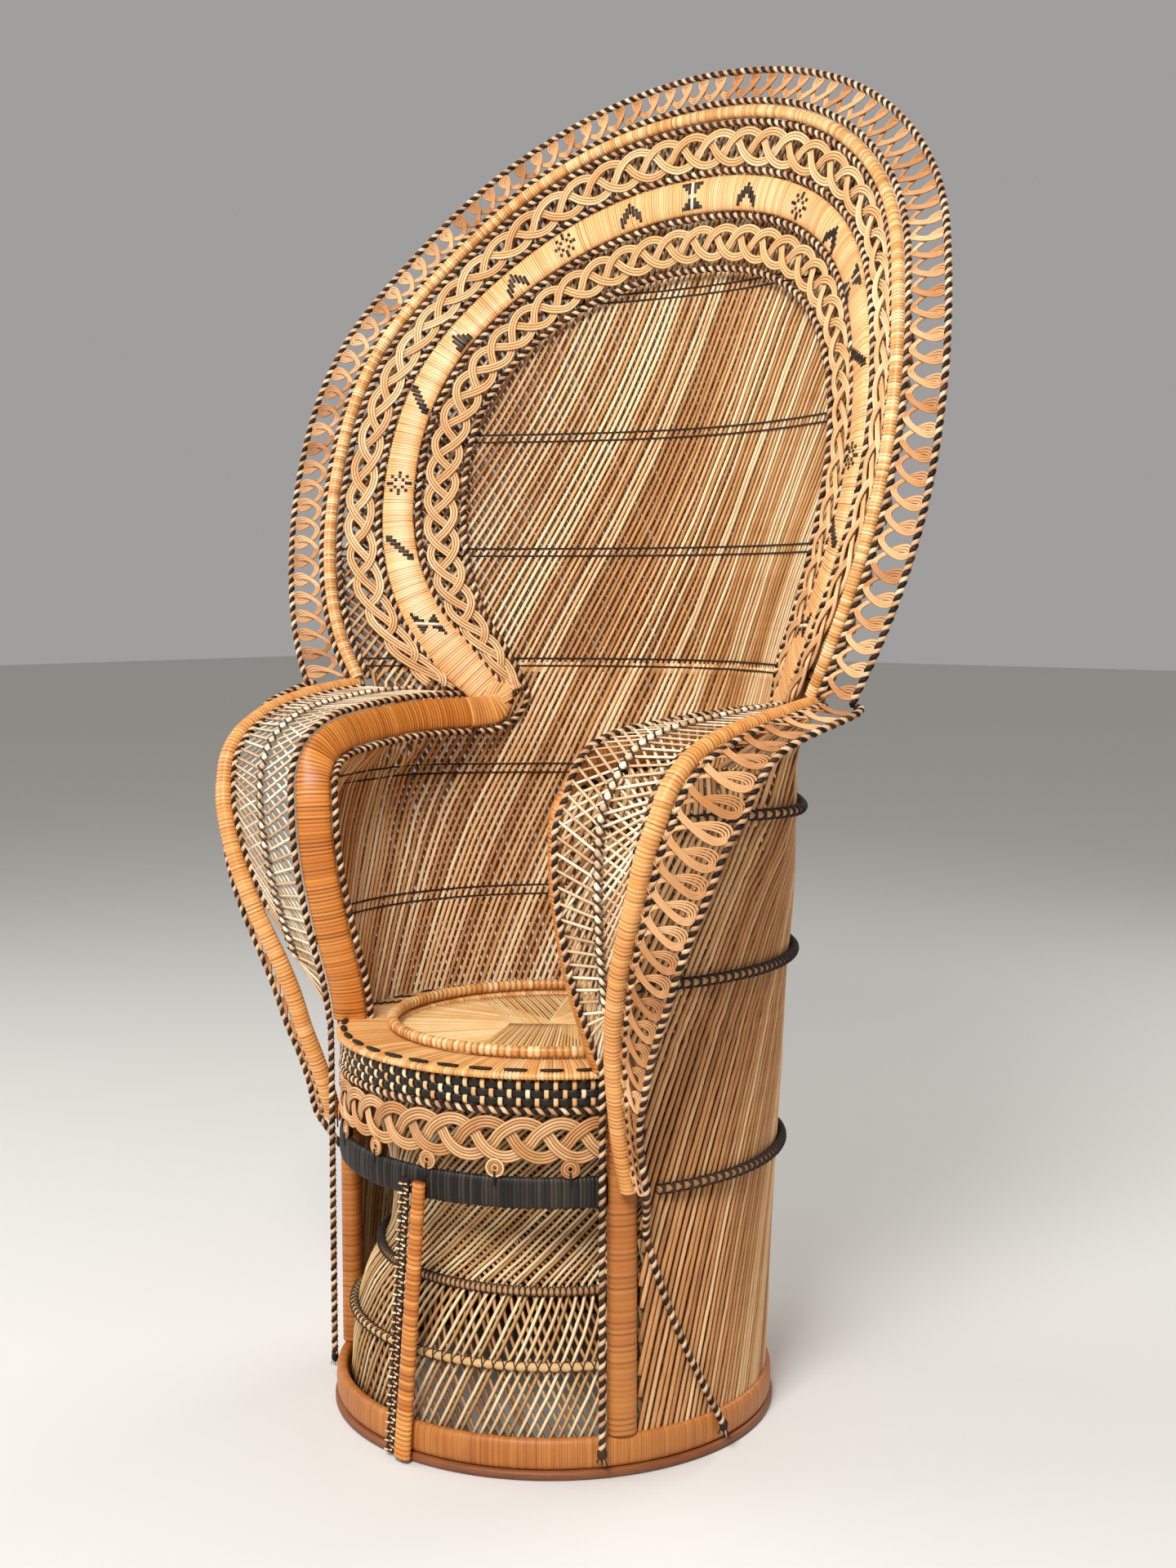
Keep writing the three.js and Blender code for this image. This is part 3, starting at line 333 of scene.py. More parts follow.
brown_cane = cane_material("wound_brown_cane", ("#7e3e10", "#af6524", "#d68f48"), (2600, 4), 0.48,
                           coat=0.1, groove="#4a220c")
old_pole = cane_material("old_rattan_pole", ("#4c2410", "#7a4220", "#a8683a"), (40, 12), 0.5)

weave = Weave()
weave.strand(hoop_line("base_hoop", BASE_POLE, 144)[:-1], UP, BASE_POLE, base_high.z - base_low.z, sides=10,
             closed=True, tone=0.5, fullness=2.8, far_side_shade=0.3)
weave.piece("base_pole", "brown_cane", [old_pole], "base_hoop")

band_low, band_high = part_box("base_band")
band_line = hoop_line("base_band", BASE_BAND)
weave = Weave()
weave.winding(rows_of(band_line, away_from_axis(band_line), band_high.z - band_low.z, BASE_BAND),
              BASE_STRIP, dip=0.2 * MM, closed=True, sides=14, fullness=3.2, groove_lit_and_unsoiled=(0.35, 1.0), spread=0.14)
weave.piece("base_winding", "brown_cane", [brown_cane], "base_band")


# Pedestal. Two layers of thin round reeds cross one another, leaning opposite ways, and are drawn in
# to a waist under the seat. They lean further above the upper hoop than below it. A pale hoop and a
# darker one above it are lashed round them with crossed twine.

PEDESTAL_REED = 4.1 * MM
PEDESTAL_REEDS = 140
PEDESTAL_JITTER = 0.2
LEAN_BELOW = 2.1
LEAN_ABOVE = 5.3
FOOT_REACH = 5 * MM
FOOT_DROP = 20 * MM
HOOP_TWINE = 1.4 * MM
TWINE_STEPS = 12


def wall_tree(*names):
    """A tree of the CAD faces of some nodes, for finding where a line meets them."""
    shell = bmesh.new()
    for name in names:
        shell.from_mesh(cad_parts[name].data)
    bmesh.ops.remove_doubles(shell, verts=shell.verts, dist=1e-6)
    shell.normal_update()
    tree = BVHTree.FromBMesh(shell)
    shell.free()
    return tree


def on_wall(tree, angle, height, depth):
    """The point a depth behind the inner face of a wall, looking out from the chair's axis."""
    ahead = Vector((math.sin(angle), math.cos(angle), 0))
    place, normal, _, _ = tree.ray_cast(Vector((0, AXIS_Y, height)), ahead)
    if place is None:
        return None
    if normal.dot(ahead) > 0:
        normal = -normal
    return [*(place - normal * depth), *(-normal)]


def wall_runs(tree, angles, heights, depth, most_missing=6):
    """Rows of points and out directions where a leaning line runs over a wall, bridging short gaps."""
    runs = []
    current = []
    missing = 0
    for angle, height in zip(angles, heights):
        found = on_wall(tree, angle, height, depth)
        if found is None:
            missing += 1
            if missing > most_missing and current:
                runs.append(np.array(current))
                current = []
        else:
            current.append(found)
            missing = 0
    if current:
        runs.append(np.array(current))
    return [run for run in runs if len(run) > 3]


def footed(run, lowest):
    """A leaning run, carried on down behind the base band where it starts at the wall's foot."""
    if run[0, 2] > lowest + FOOT_REACH:
        return run
    return np.vstack([run[0] + (run[0] - run[1]) * FOOT_DROP / (run[1, 2] - run[0, 2]), run])


pale_reed = cane_material(
    "pale_round_reed", ("#9c6c3a", "#d6aa70", "#f6dfb2"), (60, 5), 0.5, groove="#301406")
brown_reed = cane_material(
    "brown_round_reed", ("#643614", "#9c6a3c", "#d0a06e"), (60, 5), 0.55, groove="#2a1006")
twine = cane_material("dark_twine", ("#150d0b", "#2e211b", "#4d382c"), (400, 6), 0.7, groove="#140c0a")

lattice_low, lattice_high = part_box("pedestal_lattice")
upper_low, upper_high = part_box("upper_pedestal_hoop")
pedestal_wall = wall_tree("pedestal_lattice")
pedestal_heights = np.linspace(lattice_low.z + 1 * MM, lattice_high.z - 1 * MM, 30)
lean_change = (upper_low.z + upper_high.z) / 2
pedestal_turn = LEAN_BELOW * np.minimum(pedestal_heights, lean_change) + LEAN_ABOVE * np.maximum(
    pedestal_heights - lean_change, 0)
for name, layer, direction, finish, nodes in (
        ("pedestal_inner_reeds", 1.0 * MM, 1, brown_reed, ()),
        ("pedestal_outer_reeds", 3.4 * MM, -1, pale_reed, ("pedestal_lattice",))):
    weave = Weave()
    for step in range(PEDESTAL_REEDS):
        start = math.tau * (step + PEDESTAL_JITTER * chance.uniform(-1, 1)) / PEDESTAL_REEDS
        for run in wall_runs(pedestal_wall, start + direction * pedestal_turn, pedestal_heights, layer):
            run = footed(run, lattice_low.z)
            weave.strand(run[:, :3], run[:, 3:], PEDESTAL_REED, PEDESTAL_REED * 0.8, sides=5, far_side_shade=0.9)
    weave.piece(name, "reed", [finish], *nodes)


def lashing(weave, line, radius, pitch, thickness):
    """Crossed twine wound both ways round a level hoop."""
    turns = max(1, round(distances(line)[-1] / pitch))
    count = turns * TWINE_STEPS + 1
    middle = spaced(line, count)
    side, up = beside_and_above(middle, UP)
    for direction in (1, -1):
        spoke = round_spokes(side, up, direction * math.tau * np.arange(count) / TWINE_STEPS)
        weave.strand(middle + spoke * (radius + thickness * 0.4), spoke, thickness, thickness, sides=5,
                     finish=1, tone=0.4)


for node, finish, slot, pitch in (
        ("lower_pedestal_hoop", pale_reed, "pale_cane", 11.5 * MM),
        ("upper_pedestal_hoop", brown_reed, "dark_twine", 6 * MM)):
    low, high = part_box(node)
    thickness = high.z - low.z
    line = hoop_line(node, thickness, 144)
    weave = Weave()
    weave.strand(line[:-1], UP, thickness, thickness, sides=8, closed=True, far_side_shade=0.0)
    lashing(weave, line, thickness / 2, pitch, HOOP_TWINE)
    weave.piece(node + "_lashed", slot, [finish, twine], node)


# Posts. Two stout poles stand on the base at the front, wound from top to bottom with broad split
# cane whose seams hardly show.

POST_WIDTH = 32 * MM
POST_DEPTH = 22 * MM
POST_STRIP = 6 * MM


def rings_of(node, sides):
    """The rings of points, end to end, that a rod-shaped CAD node was swept through."""
    shell = bmesh.new()
    shell.from_mesh(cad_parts[node].data)
    bmesh.ops.remove_doubles(shell, verts=shell.verts, dist=1e-6)
    places = {tuple(round(c, 6) for c in vertex.co): vertex for vertex in shell.verts}
    flat = shell.copy()
    bmesh.ops.dissolve_limit(
        flat, angle_limit=math.radians(0.4), verts=flat.verts, edges=flat.edges,
        use_dissolve_boundaries=False)
    caps = [face for face in flat.faces if len(face.verts) == sides]
    cap = max(caps, key=lambda face: face.calc_center_median().x * 2 - face.calc_center_median().z)
    ring = {places[tuple(round(c, 6) for c in vertex.co)] for vertex in cap.verts}
    rings = []
    seen = set()
    while ring:
        rings.append(np.array(sorted(list(vertex.co) for vertex in ring)))
        seen |= ring
        ring = {edge.other_vert(vertex) for vertex in ring for edge in vertex.link_edges} - seen
    flat.free()
    shell.free()
    return rings


def line_of(node, sides=6, lowest_first=False):
    """The middle line of a rod-shaped CAD node."""
    line = np.array([ring.mean(axis=0) for ring in rings_of(node, sides)])
    if lowest_first and line[0][2] > line[-1][2]:
        line = line[::-1]
    return line


weave = Weave()
for node in ("right_post", "left_post"):
    line = spaced(line_of(node, 10, lowest_first=True), 40)
    weave.winding(rows_of(line, away_from_axis(line), POST_WIDTH, POST_DEPTH), POST_STRIP, dip=0.3 * MM,
                  sides=14, groove_lit_and_unsoiled=(0.3, 0.9), spread=0.12)
weave.piece("post_winding", "brown_cane", [brown_cane], "right_post", "left_post")


# Seat. A wide flat rim of wound cane round a raised hoop, and inside it a star of pale strips that
# run from the hoop to the middle in four sectors. Short black strips are worked into the rim.

RIM_CANE = 3.6 * MM
HOOP_CANE = 7.5 * MM
FRAME_THICKNESS = 13 * MM
FRAME_CANE = 4.2 * MM
STAR_STRIP = 4.4 * MM
STAR_SECTORS = ((162, 281), (126, 162), (-27, 126), (281, 333))
STAR_HUB = 0.05
STAR_BOW = 1.1 * MM
DASH_STEP = 6.2 * MM
DASH_SLANT = 0.028
DASH_WIDTHS = np.array([3.5, 6.0, 6.4, 6.0, 3.5]) * MM

pale_cane = cane_material("split_pale_cane", ("#ba7a40", "#eab57a", "#ffe2b6"), (70, 6), 0.42, coat=0.1,
                          groove="#4a220c")
star_cane = cane_material("seat_star_cane", ("#c98c42", "#efc07c", "#fde2ae"), (70, 6), 0.4, coat=0.15,
                          groove="#5a2f10")
rim_cane = cane_material("wound_rim_cane", ("#b26a2a", "#e2a35a", "#fad198"), (2600, 4), 0.4, coat=0.25,
                         groove="#6e3a16")
black_cane = cane_material("stained_black_cane", ("#0a0806", "#1a1510", "#43392d"), (900, 6), 0.5,
                           coat=0.06, groove="#030201", shine=0.3)

rim_low, rim_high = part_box("seat_rim")
hoop_low, hoop_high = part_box("seat_raised_hoop")
hoop_thickness = hoop_high.z - hoop_low.z
rim_outer = radius_of("seat_rim")
rim_inner = radius_of("seat_raised_hoop") - hoop_thickness

weave = Weave()
rim_line = arc((rim_outer + rim_inner) / 2, 0, math.tau, (rim_low.z + rim_high.z) / 2, 288)
weave.winding(rows_of(rim_line, UP, rim_outer - rim_inner, rim_high.z - rim_low.z), RIM_CANE, dip=0.5 * MM,
              closed=True, sides=14, fullness=3.0, groove_lit_and_unsoiled=(0.3, 0.8), spread=0.4)
raised_line = hoop_line("seat_raised_hoop", hoop_thickness)
weave.winding(rows_of(raised_line, UP, hoop_thickness, hoop_thickness), HOOP_CANE, dip=1.0 * MM, closed=True,
              sides=12)
weave.piece("seat_rim_winding", "honey_cane", [rim_cane], "seat_rim", "seat_raised_hoop")

frame_low, frame_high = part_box("seat_frame_hoop")
frame_line = hoop_line("seat_frame_hoop", FRAME_THICKNESS)
weave = Weave()
weave.winding(rows_of(frame_line, away_from_axis(frame_line), frame_high.z - frame_low.z, FRAME_THICKNESS),
              FRAME_CANE, dip=0.9 * MM, closed=True, sides=12, fullness=3.0)
weave.piece("seat_frame_winding", "brown_cane", [brown_cane], "seat_frame_hoop")

weave = Weave()
star_radius = radius_of("seat_star")
star_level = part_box("seat_star")[0].z
star_middle = np.array([0.0, AXIS_Y])
for rank, (start, end) in enumerate(STAR_SECTORS):
    heading = math.radians((start + end) / 2)
    square = np.array([-math.sin(heading), math.cos(heading)])
    count = round(math.radians(end - start) * star_radius / (STAR_STRIP * 1.02))
    level = star_level + (1.2 + 0.8 * rank) * MM
    for step in range(count):
        share = (step + 0.5) / count
        angle = math.radians(start + (end - start) * share)
        far = star_middle + star_radius * np.array([math.cos(angle), math.sin(angle)])
        near = star_middle + square * (share - 0.5) * STAR_HUB * (1 + rank % 2)
        place = np.linspace(0, 1, 9)[:, None]
        bow = level + STAR_BOW * np.sin(math.pi * place[:, 0]) * (1 if step % 2 else 0.4)
        line = np.column_stack([far + (near - far) * place, bow])
        width = np.linspace(STAR_STRIP * 0.9, STAR_STRIP * 0.6, 9)
        weave.strand(line, UP, width, 2.6 * MM, sides=8, far_side_shade=0.9)
weave.piece("seat_star_strips", "pale_cane", [star_cane], "seat_star")

weave = Weave()
for side_start, side_end, rows, gap, inset, half_length, scale in (
        (-110, 95, 4, 11.5, 13 * MM, 7 * MM, 1), (98, 247, 1, 9.0, 9 * MM, 12 * MM, 1.4)):
    turn = math.radians(gap)
    for step in range(int(math.radians(side_end - side_start) / turn)):
        heading = math.radians(side_start) + (step + 0.5) * turn
        for row in range(rows):
            middle = heading + (row - (rows - 1) / 2) * DASH_SLANT
            radius = rim_outer - inset - row * DASH_STEP
            half = half_length / radius
            line = arc(radius, middle - half, middle + half, rim_high.z + 0.3 * MM, 4)
            weave.strand(line, UP, DASH_WIDTHS * scale, 2.2 * MM, tone=0.4)
weave.piece("seat_rim_dashes", "black_cane", [black_cane])


# Seat front. Three rows of black strips cross tan uprights in a plain weave, a twisted cord runs
# under them, and then a plaited apron of rounded arcs is tied down to a hoop wound with black cane.

def level_band(node, thickness):
    """The half angle, middle radius, lowest and highest height of a curved band in front."""
    low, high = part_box(node)
    half = high.x
    radius = AXIS_Y - low.y - thickness / 2
    return math.asin(min(1.0, half / (radius + thickness / 2))), radius, low.z, high.z


CHECKER_ROWS = 3
CHECKER_STEP = 9.5 * MM
CHECKER_SWING = 1.4 * MM
UPRIGHT_SWING = 1.8 * MM
UPRIGHT_WIDTH = 5 * MM
CORD_RADIUS = 4.3 * MM
CORD_LAY = 12.3 * MM
CORD_STEPS = 8
STRAND_OFFSET = 0.46 * CORD_RADIUS
STRAND_WIDTH = 1.22 * CORD_RADIUS

checker_half, checker_radius, checker_low, checker_high = level_band("seat_checker_band", 8 * MM)
weave = Weave()
uprights = round(2 * checker_half * checker_radius / CHECKER_STEP)
row_height = (checker_high - checker_low) / CHECKER_ROWS
for row in range(CHECKER_ROWS):
    height = checker_high - (row + 0.5) * row_height
    line = arc(checker_radius, math.pi - checker_half, math.pi + checker_half, height, uprights * 6)
    out = away_from_axis(line)
    wave = np.cos(math.pi * (np.arange(len(line)) / 6 - 0.5 + row))
    weave.strand(line + out * (CHECKER_SWING * wave)[:, None], out, row_height * 0.94, 2.2 * MM, sides=8,
                 fullness=3.0, tone=0.35)
for upright in range(uprights):
    angle = math.pi - checker_half + 2 * checker_half * (upright + 0.5) / uprights
    heights = np.linspace(checker_high, checker_low, 13)
    out = np.array([math.sin(angle), math.cos(angle), 0.0])
    wave = -np.cos(math.pi * (upright + (checker_high - heights) / row_height - 0.5))
    line = np.array([0, AXIS_Y, 0]) + out * (checker_radius + UPRIGHT_SWING * wave)[:, None]
    line[:, 2] = heights
    weave.strand(line, out, UPRIGHT_WIDTH, 1.8 * MM, sides=8, fullness=3.0, finish=1)
weave.piece("seat_checker", "dark_twine", [black_cane, pale_cane], "seat_checker_band")


def twist(weave, line, hint):
    """Two strands, one black and one pale, twisted round one another along a line."""
    count = max(6, round(distances(line)[-1] / CORD_LAY * CORD_STEPS)) + 1
    line = spaced(line, count)
    side, up = beside_and_above(line, hint)
    for strand, finish in ((0.0, 0), (math.pi, 1)):
        spoke = round_spokes(side, up, math.tau * np.arange(count) / CORD_STEPS + strand)
        tones = np.repeat(draws(0, 1, count // CORD_STEPS + 1), CORD_STEPS)[:count]
        weave.strand(line + spoke * STRAND_OFFSET, spoke, STRAND_WIDTH, CORD_RADIUS, finish=finish,
                     tone=tones)


cord_pale = cane_material(
    "pale_cord_cane", ("#9a663c", "#d3a377", "#f2cfa4"), (120, 6), 0.5, groove="#4a2410")
cord_black = cane_material(
    "black_cord_cane", ("#0c0705", "#1c120c", "#432d1c"), (120, 6), 0.55, groove="#050302", shine=0.25)
CORD_FINISHES = [cord_black, cord_pale]

weave = Weave()
twist(weave, rounded(line_of("seat_cord"), 4), UP)
weave.piece("seat_cord_twist", "cord", CORD_FINISHES, "seat_cord")


class Strip:
    """A strip of surface between two edge lines. Places on it are a distance along its middle, a share
    from its first edge to its second, and a distance out of it towards the given side."""

    def __init__(self, first, second, facing):
        edges = [rounded(first), rounded(second)]
        if len(first) != len(second):
            edges = [spaced(edge, max(len(first), len(second)) * 6) for edge in edges]
        self.first, self.second = edges
        middle = (self.first + self.second) / 2
        self.along = distances(middle)
        self.length = self.along[-1]
        normal = unit(np.cross(np.gradient(middle, axis=0), self.second - self.first))
        pole = normal[len(normal) // 2] @ np.asarray(facing, float)
        self.normal = normal if pole > 0 else -normal

    def pick(self, table, distance):
        """The rows of a table at these distances."""
        return np.column_stack([np.interp(distance, self.along, column) for column in table.T])

    def width(self, distance):
        """How far apart the edges are at these distances."""
        return np.linalg.norm(self.pick(self.second, distance) - self.pick(self.first, distance), axis=1)

    def place(self, distance, share, out=0.0):
        """Points on the strip, and the directions that face out of it."""
        distance, share, out = np.broadcast_arrays(
            np.asarray(distance, float), np.asarray(share, float), np.asarray(out, float))
        first = self.pick(self.first, distance)
        second = self.pick(self.second, distance)
        normal = unit(self.pick(self.normal, distance))
        return first + (second - first) * share[:, None] + normal * out[:, None], normal


PLAIT_STRANDS = 3
PLAIT_STEPS = 42
OVER_AND_UNDER = ((-30, 1), (30, -1), (150, 1), (210, -1), (330, 1))
APRON_PLAIT = 108 * MM
TIE_STEP = 72 * MM
TIE_WIDTH = 2.4 * MM
EYE_RADIUS = 3.4 * MM
EYE_REED = 2.8 * MM
RING_THICKNESS = 10 * MM


def side_by_side(weave, strip, distance, share, out, reeds, reed_width):
    """Runs a few reeds beside one another along a path on a strip."""
    middle, normal = strip.place(distance, share, out)
    side, _ = beside_and_above(middle, normal)
    tone = chance.uniform(0.2, 0.8)
    for reed_number in range(reeds):
        shift = (reed_number - (reeds - 1) / 2) * reed_width * 1.02
        shade = min(1.0, max(0.0, tone + chance.uniform(-0.25, 0.25)))
        weave.strand(middle + side * shift, normal, reed_width, reed_width * 0.75, tone=shade, far_side_shade=0.85)


def eye(weave, strip, distance, share, out):
    """A small curled loop of three reeds lying on a strip."""
    centre, normal = strip.place(np.array([distance]), np.array([share]), out)
    beside, _ = strip.place(np.array([distance + 2 * MM]), np.array([share]), out)
    ahead = unit(beside - centre)[0]
    side = np.cross(normal[0], ahead)
    turn = np.linspace(0, math.tau, 15)[:-1, None]
    for step in range(3):
        radius = EYE_RADIUS + step * EYE_REED
        ring = centre + (ahead * np.cos(turn) + side * np.sin(turn)) * radius
        weave.strand(ring, normal[0], EYE_REED, EYE_REED * 0.75, closed=True, far_side_shade=0.85)


def plait(weave, strip, period, half_width, middle=0.5, reeds=3, reed_width=3.3 * MM, lift=2.8 * MM,
          roundness=0.85):
    """A flat plait of bands of reeds that swing from edge to edge of a strip. half_width and middle are
    numbers, or rows of them from the strip's start to its end."""
    periods = max(1, round(strip.length / period))
    distance = np.linspace(0, strip.length, periods * PLAIT_STEPS + 1)
    gone = distance / strip.length
    reach = np.interp(gone, np.linspace(0, 1, np.size(half_width)), np.atleast_1d(half_width))
    reach = reach / strip.width(distance)
    centre = np.interp(gone, np.linspace(0, 1, np.size(middle)), np.atleast_1d(middle))
    degrees, levels = zip(*OVER_AND_UNDER)
    for number in range(PLAIT_STRANDS):
        phase = math.tau * (periods * distance / strip.length + number / PLAIT_STRANDS)
        wrapped = (np.degrees(phase) - degrees[0]) % 360 + degrees[0]
        out = np.interp(wrapped, degrees, levels)
        out = np.convolve(np.pad(out, 3, mode="edge"), np.ones(7) / 7, mode="valid") * lift
        swing = np.sin(phase)
        share = centre + reach * np.sign(swing) * np.abs(swing) ** roundness
        side_by_side(weave, strip, distance, share, out, reeds, reed_width)


apron_half, apron_radius, apron_low, apron_high = level_band("seat_apron", 8 * MM)
apron_edges = [
    arc(apron_radius + 2 * MM, math.pi - apron_half, math.pi + apron_half, height, 24)
    for height in (apron_high, apron_low)]
apron_strip = Strip(*apron_edges, (0, -1, 0))
apron_cane = cane_material("apron_cane", ("#925424", "#ca8f56", "#f3c994"), (70, 6), 0.42, coat=0.1,
                           groove="#34160a")
weave = Weave()
plait(weave, apron_strip, APRON_PLAIT, half_width=18 * MM, middle=0.4, reeds=4, reed_width=3.2 * MM,
      lift=3 * MM, roundness=0.8)
ties = round(apron_strip.length / TIE_STEP)
for step in range(ties):
    at = (step + 0.5) * apron_strip.length / ties
    eye(weave, apron_strip, at, 0.86, 3.2 * MM)
    line, normal = apron_strip.place(at, np.linspace(0.9, 1.14, 5), 5.5 * MM)
    weave.strand(line, normal, TIE_WIDTH, TIE_WIDTH * 0.75, finish=1, tone=0.3)
weave.piece("apron_plait", "reed", [apron_cane, black_cane], "seat_apron")

ring_half, ring_radius, ring_low, ring_high = level_band("black_ring", RING_THICKNESS)
ring_line = arc(ring_radius, math.pi - ring_half, math.pi + ring_half, (ring_low + ring_high) / 2, 96)
weave = Weave()
weave.winding(rows_of(ring_line, away_from_axis(ring_line), ring_high - ring_low, RING_THICKNESS),
              pitch=4.2 * MM, dip=1.1 * MM, sides=14, fullness=3.0, groove_lit_and_unsoiled=(0.0, 0.3))
weave.piece("black_ring_winding", "black_cane", [black_cane], "black_ring")


# Centre stick. A slim upright of wound cane outside the base band and the black ring, with a narrow
# woven strip of black and tan fastened along its left side.

FRONT = np.array([0, -1.0, 0])
STICK_WIDTHS = np.linspace(22, 15, 30) * MM
STICK_THICKNESS = 12 * MM
STICK_SHIFTS = np.linspace(0, 2.5, 30) * MM
STRIP_BAR = 10 * MM
STRIP_HALF = 7 * MM

honey_cane = cane_material("wound_honey_cane", ("#974a0e", "#ca7626", "#eca04c"), (2600, 4), 0.42, coat=0.15,
                           groove="#5a2808")

weave = Weave()
stick_line = spaced(line_of("centre_stick", 8, lowest_first=True), 30)
stick_line[:, 0] += STICK_SHIFTS
weave.winding(rows_of(stick_line, FRONT, STICK_WIDTHS, STICK_THICKNESS), pitch=5.4 * MM, dip=0.5 * MM,
              sides=12, groove_lit_and_unsoiled=(0.2, 0.6))
weave.piece("centre_stick_winding", "honey_cane", [honey_cane], "centre_stick")

weave = Weave()
strip_line = spaced(line_of("centre_stick_strip", 6, lowest_first=True), 240)
place = distances(strip_line)
for column in range(2):
    wave = np.sin(math.tau * place / STRIP_BAR + math.pi * column)
    beside = np.array([(column - 0.5) * STRIP_HALF, 0, 0])
    line = strip_line + beside + FRONT * (1.0 * MM * wave)[:, None]
    weave.strand(line, FRONT, 6.6 * MM, 2.6 * MM, tone=0.3, far_side_shade=0.3)
for step in range(int(2 * place[-1] / STRIP_BAR)):
    spot = np.array([np.interp((step + 0.5) * STRIP_BAR / 2, place, c) for c in strip_line.T])
    across = np.linspace(-1, 1, 13)
    sign = 1 if step % 2 else -1
    out = -(0.4 * MM + 1.9 * MM * np.sin(math.pi * across / 2) * sign)
    line = spot + np.column_stack([across * STRIP_HALF, out, np.zeros(13)])
    weave.strand(line, FRONT, 2.6 * MM, 1.6 * MM, finish=1, far_side_shade=0.4)
weave.piece("centre_stick_weave", "dark_twine", [cord_black, pale_cane], "centre_stick_strip")


# Skin. One inner and one outer layer of round reeds lean opposite ways, from the base up round the
# sides and back, past the arms, and on into the fan. Twined rows hold the layers together, and three
# hoops are lashed round the outside.

TUBE_REEDS = 204
FAN_REEDS = 212
SKIN_REED = 5.7 * MM
SKIN_STEP = 12 * MM
SKIN_JITTER = 0.12
CHANGE_HEIGHT = 0.825
CHANGE_OVERLAP = 13 * MM
LEAN_HEIGHTS = (0.04, 0.30, 0.45, 0.60, 0.80, 0.95, 1.10, 1.25, 1.47)
LEAN_RATES = (0.85, 1.10, 1.55, 1.75, 2.00, 2.15, 2.05, 1.60, 1.40)
TWINED_HEIGHTS = (1.272, 1.263, 1.105, 1.096, 0.964, 0.955, 0.829, 0.820, 0.699, 0.688, 0.546, 0.535)
TWINED_REACH = 125
TWINED_RIPPLE = 0.5 * MM
TWINED_WAVE = 8.6 * MM
TUBE_HOOP = 7.5 * MM

skin_inner = cane_material(
    "skin_inner_reed", ("#955722", "#dba263", "#ffe2b2"), (60, 5), 0.5, groove="#301006")
# The outer reeds are coloured darker than the inner ones, partly for older cane and partly as painted shade
# on the shaded outside and in the gaps seen from inside.
skin_outer = cane_material(
    "skin_outer_reed", ("#884e22", "#cd9056", "#f6c890"), (60, 5), 0.55, groove="#301006")
skin_wall = wall_tree("tube_sheet", "fan_sheet")
tube_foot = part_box("tube_sheet")[0].z
skin_heights = np.arange(tube_foot + 1 * MM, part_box("fan_sheet")[1].z, SKIN_STEP)
lean_rates = np.interp(skin_heights, LEAN_HEIGHTS, LEAN_RATES)
turned = np.concatenate([[0], np.cumsum((lean_rates[1:] + lean_rates[:-1]) / 2 * np.diff(skin_heights))])
SKIN_PARTS = (
    ("tube", skin_heights <= CHANGE_HEIGHT, TUBE_REEDS),
    ("fan", skin_heights >= CHANGE_HEIGHT - CHANGE_OVERLAP, FAN_REEDS))
for name, depth, direction, finish, fullnesses in (
        ("inner_reeds", 2.2 * MM, 1, skin_inner, (1.0, 0.88)),
        ("outer_reeds", 6.2 * MM, -1, skin_outer, (1.12, 1.18))):
    for (part, kept, count), fullness in zip(SKIN_PARTS, fullnesses):
        weave = Weave()
        for step in range(count):
            start = math.tau * (step + SKIN_JITTER * chance.uniform(-1, 1)) / count
            for run in wall_runs(skin_wall, start + direction * turned[kept], skin_heights[kept], depth):
                run = footed(run, tube_foot)
                width = SKIN_REED * chance.uniform(0.91, 1.03) * fullness
                weave.strand(run[:, :3], -direction * run[:, 3:], width, width * 0.75, sides=5, far_side_shade=0.92)
        weave.piece(f"{part}_{name}", "reed", [finish], *([part + "_sheet"] if direction > 0 else []))

weave = Weave()
twined_angles = np.radians(np.arange(-TWINED_REACH, TWINED_REACH + 0.1, 0.35))
for height in TWINED_HEIGHTS:
    for run in wall_runs(
            skin_wall, twined_angles, np.full(len(twined_angles), height), 0.2 * MM, most_missing=2):
        out = run[:, 3:]
        ripple = TWINED_RIPPLE * np.sin(distances(run) / TWINED_WAVE * 2 * math.pi)
        weave.strand(run[:, :3] - out * ripple[:, None], out, 2.3 * MM, 1.8 * MM, sides=5, tone=0.3)
weave.piece("twined_rows", "dark_twine", [twine])

for node in ("tube_hoop_low", "tube_hoop_middle", "tube_hoop_high"):
    line = rounded(line_of(node), 4)
    weave = Weave()
    weave.strand(line, UP, TUBE_HOOP, TUBE_HOOP, sides=8, far_side_shade=0.0)
    lashing(weave, line, radius=4 * MM, pitch=11 * MM, thickness=2.6 * MM)
    weave.piece(node + "_lashed", "dark_twine", [brown_reed, twine], node)


# Arms and wings. On each side a wide wound hoop and a slimmer one rise from the seat and sweep back to
# the fan, with a leaf of crossed strips between them, twisted cords along their edges, and a fringe of
# looped reeds outside. The arm hoop bends round into the foot of the fan's wide band.

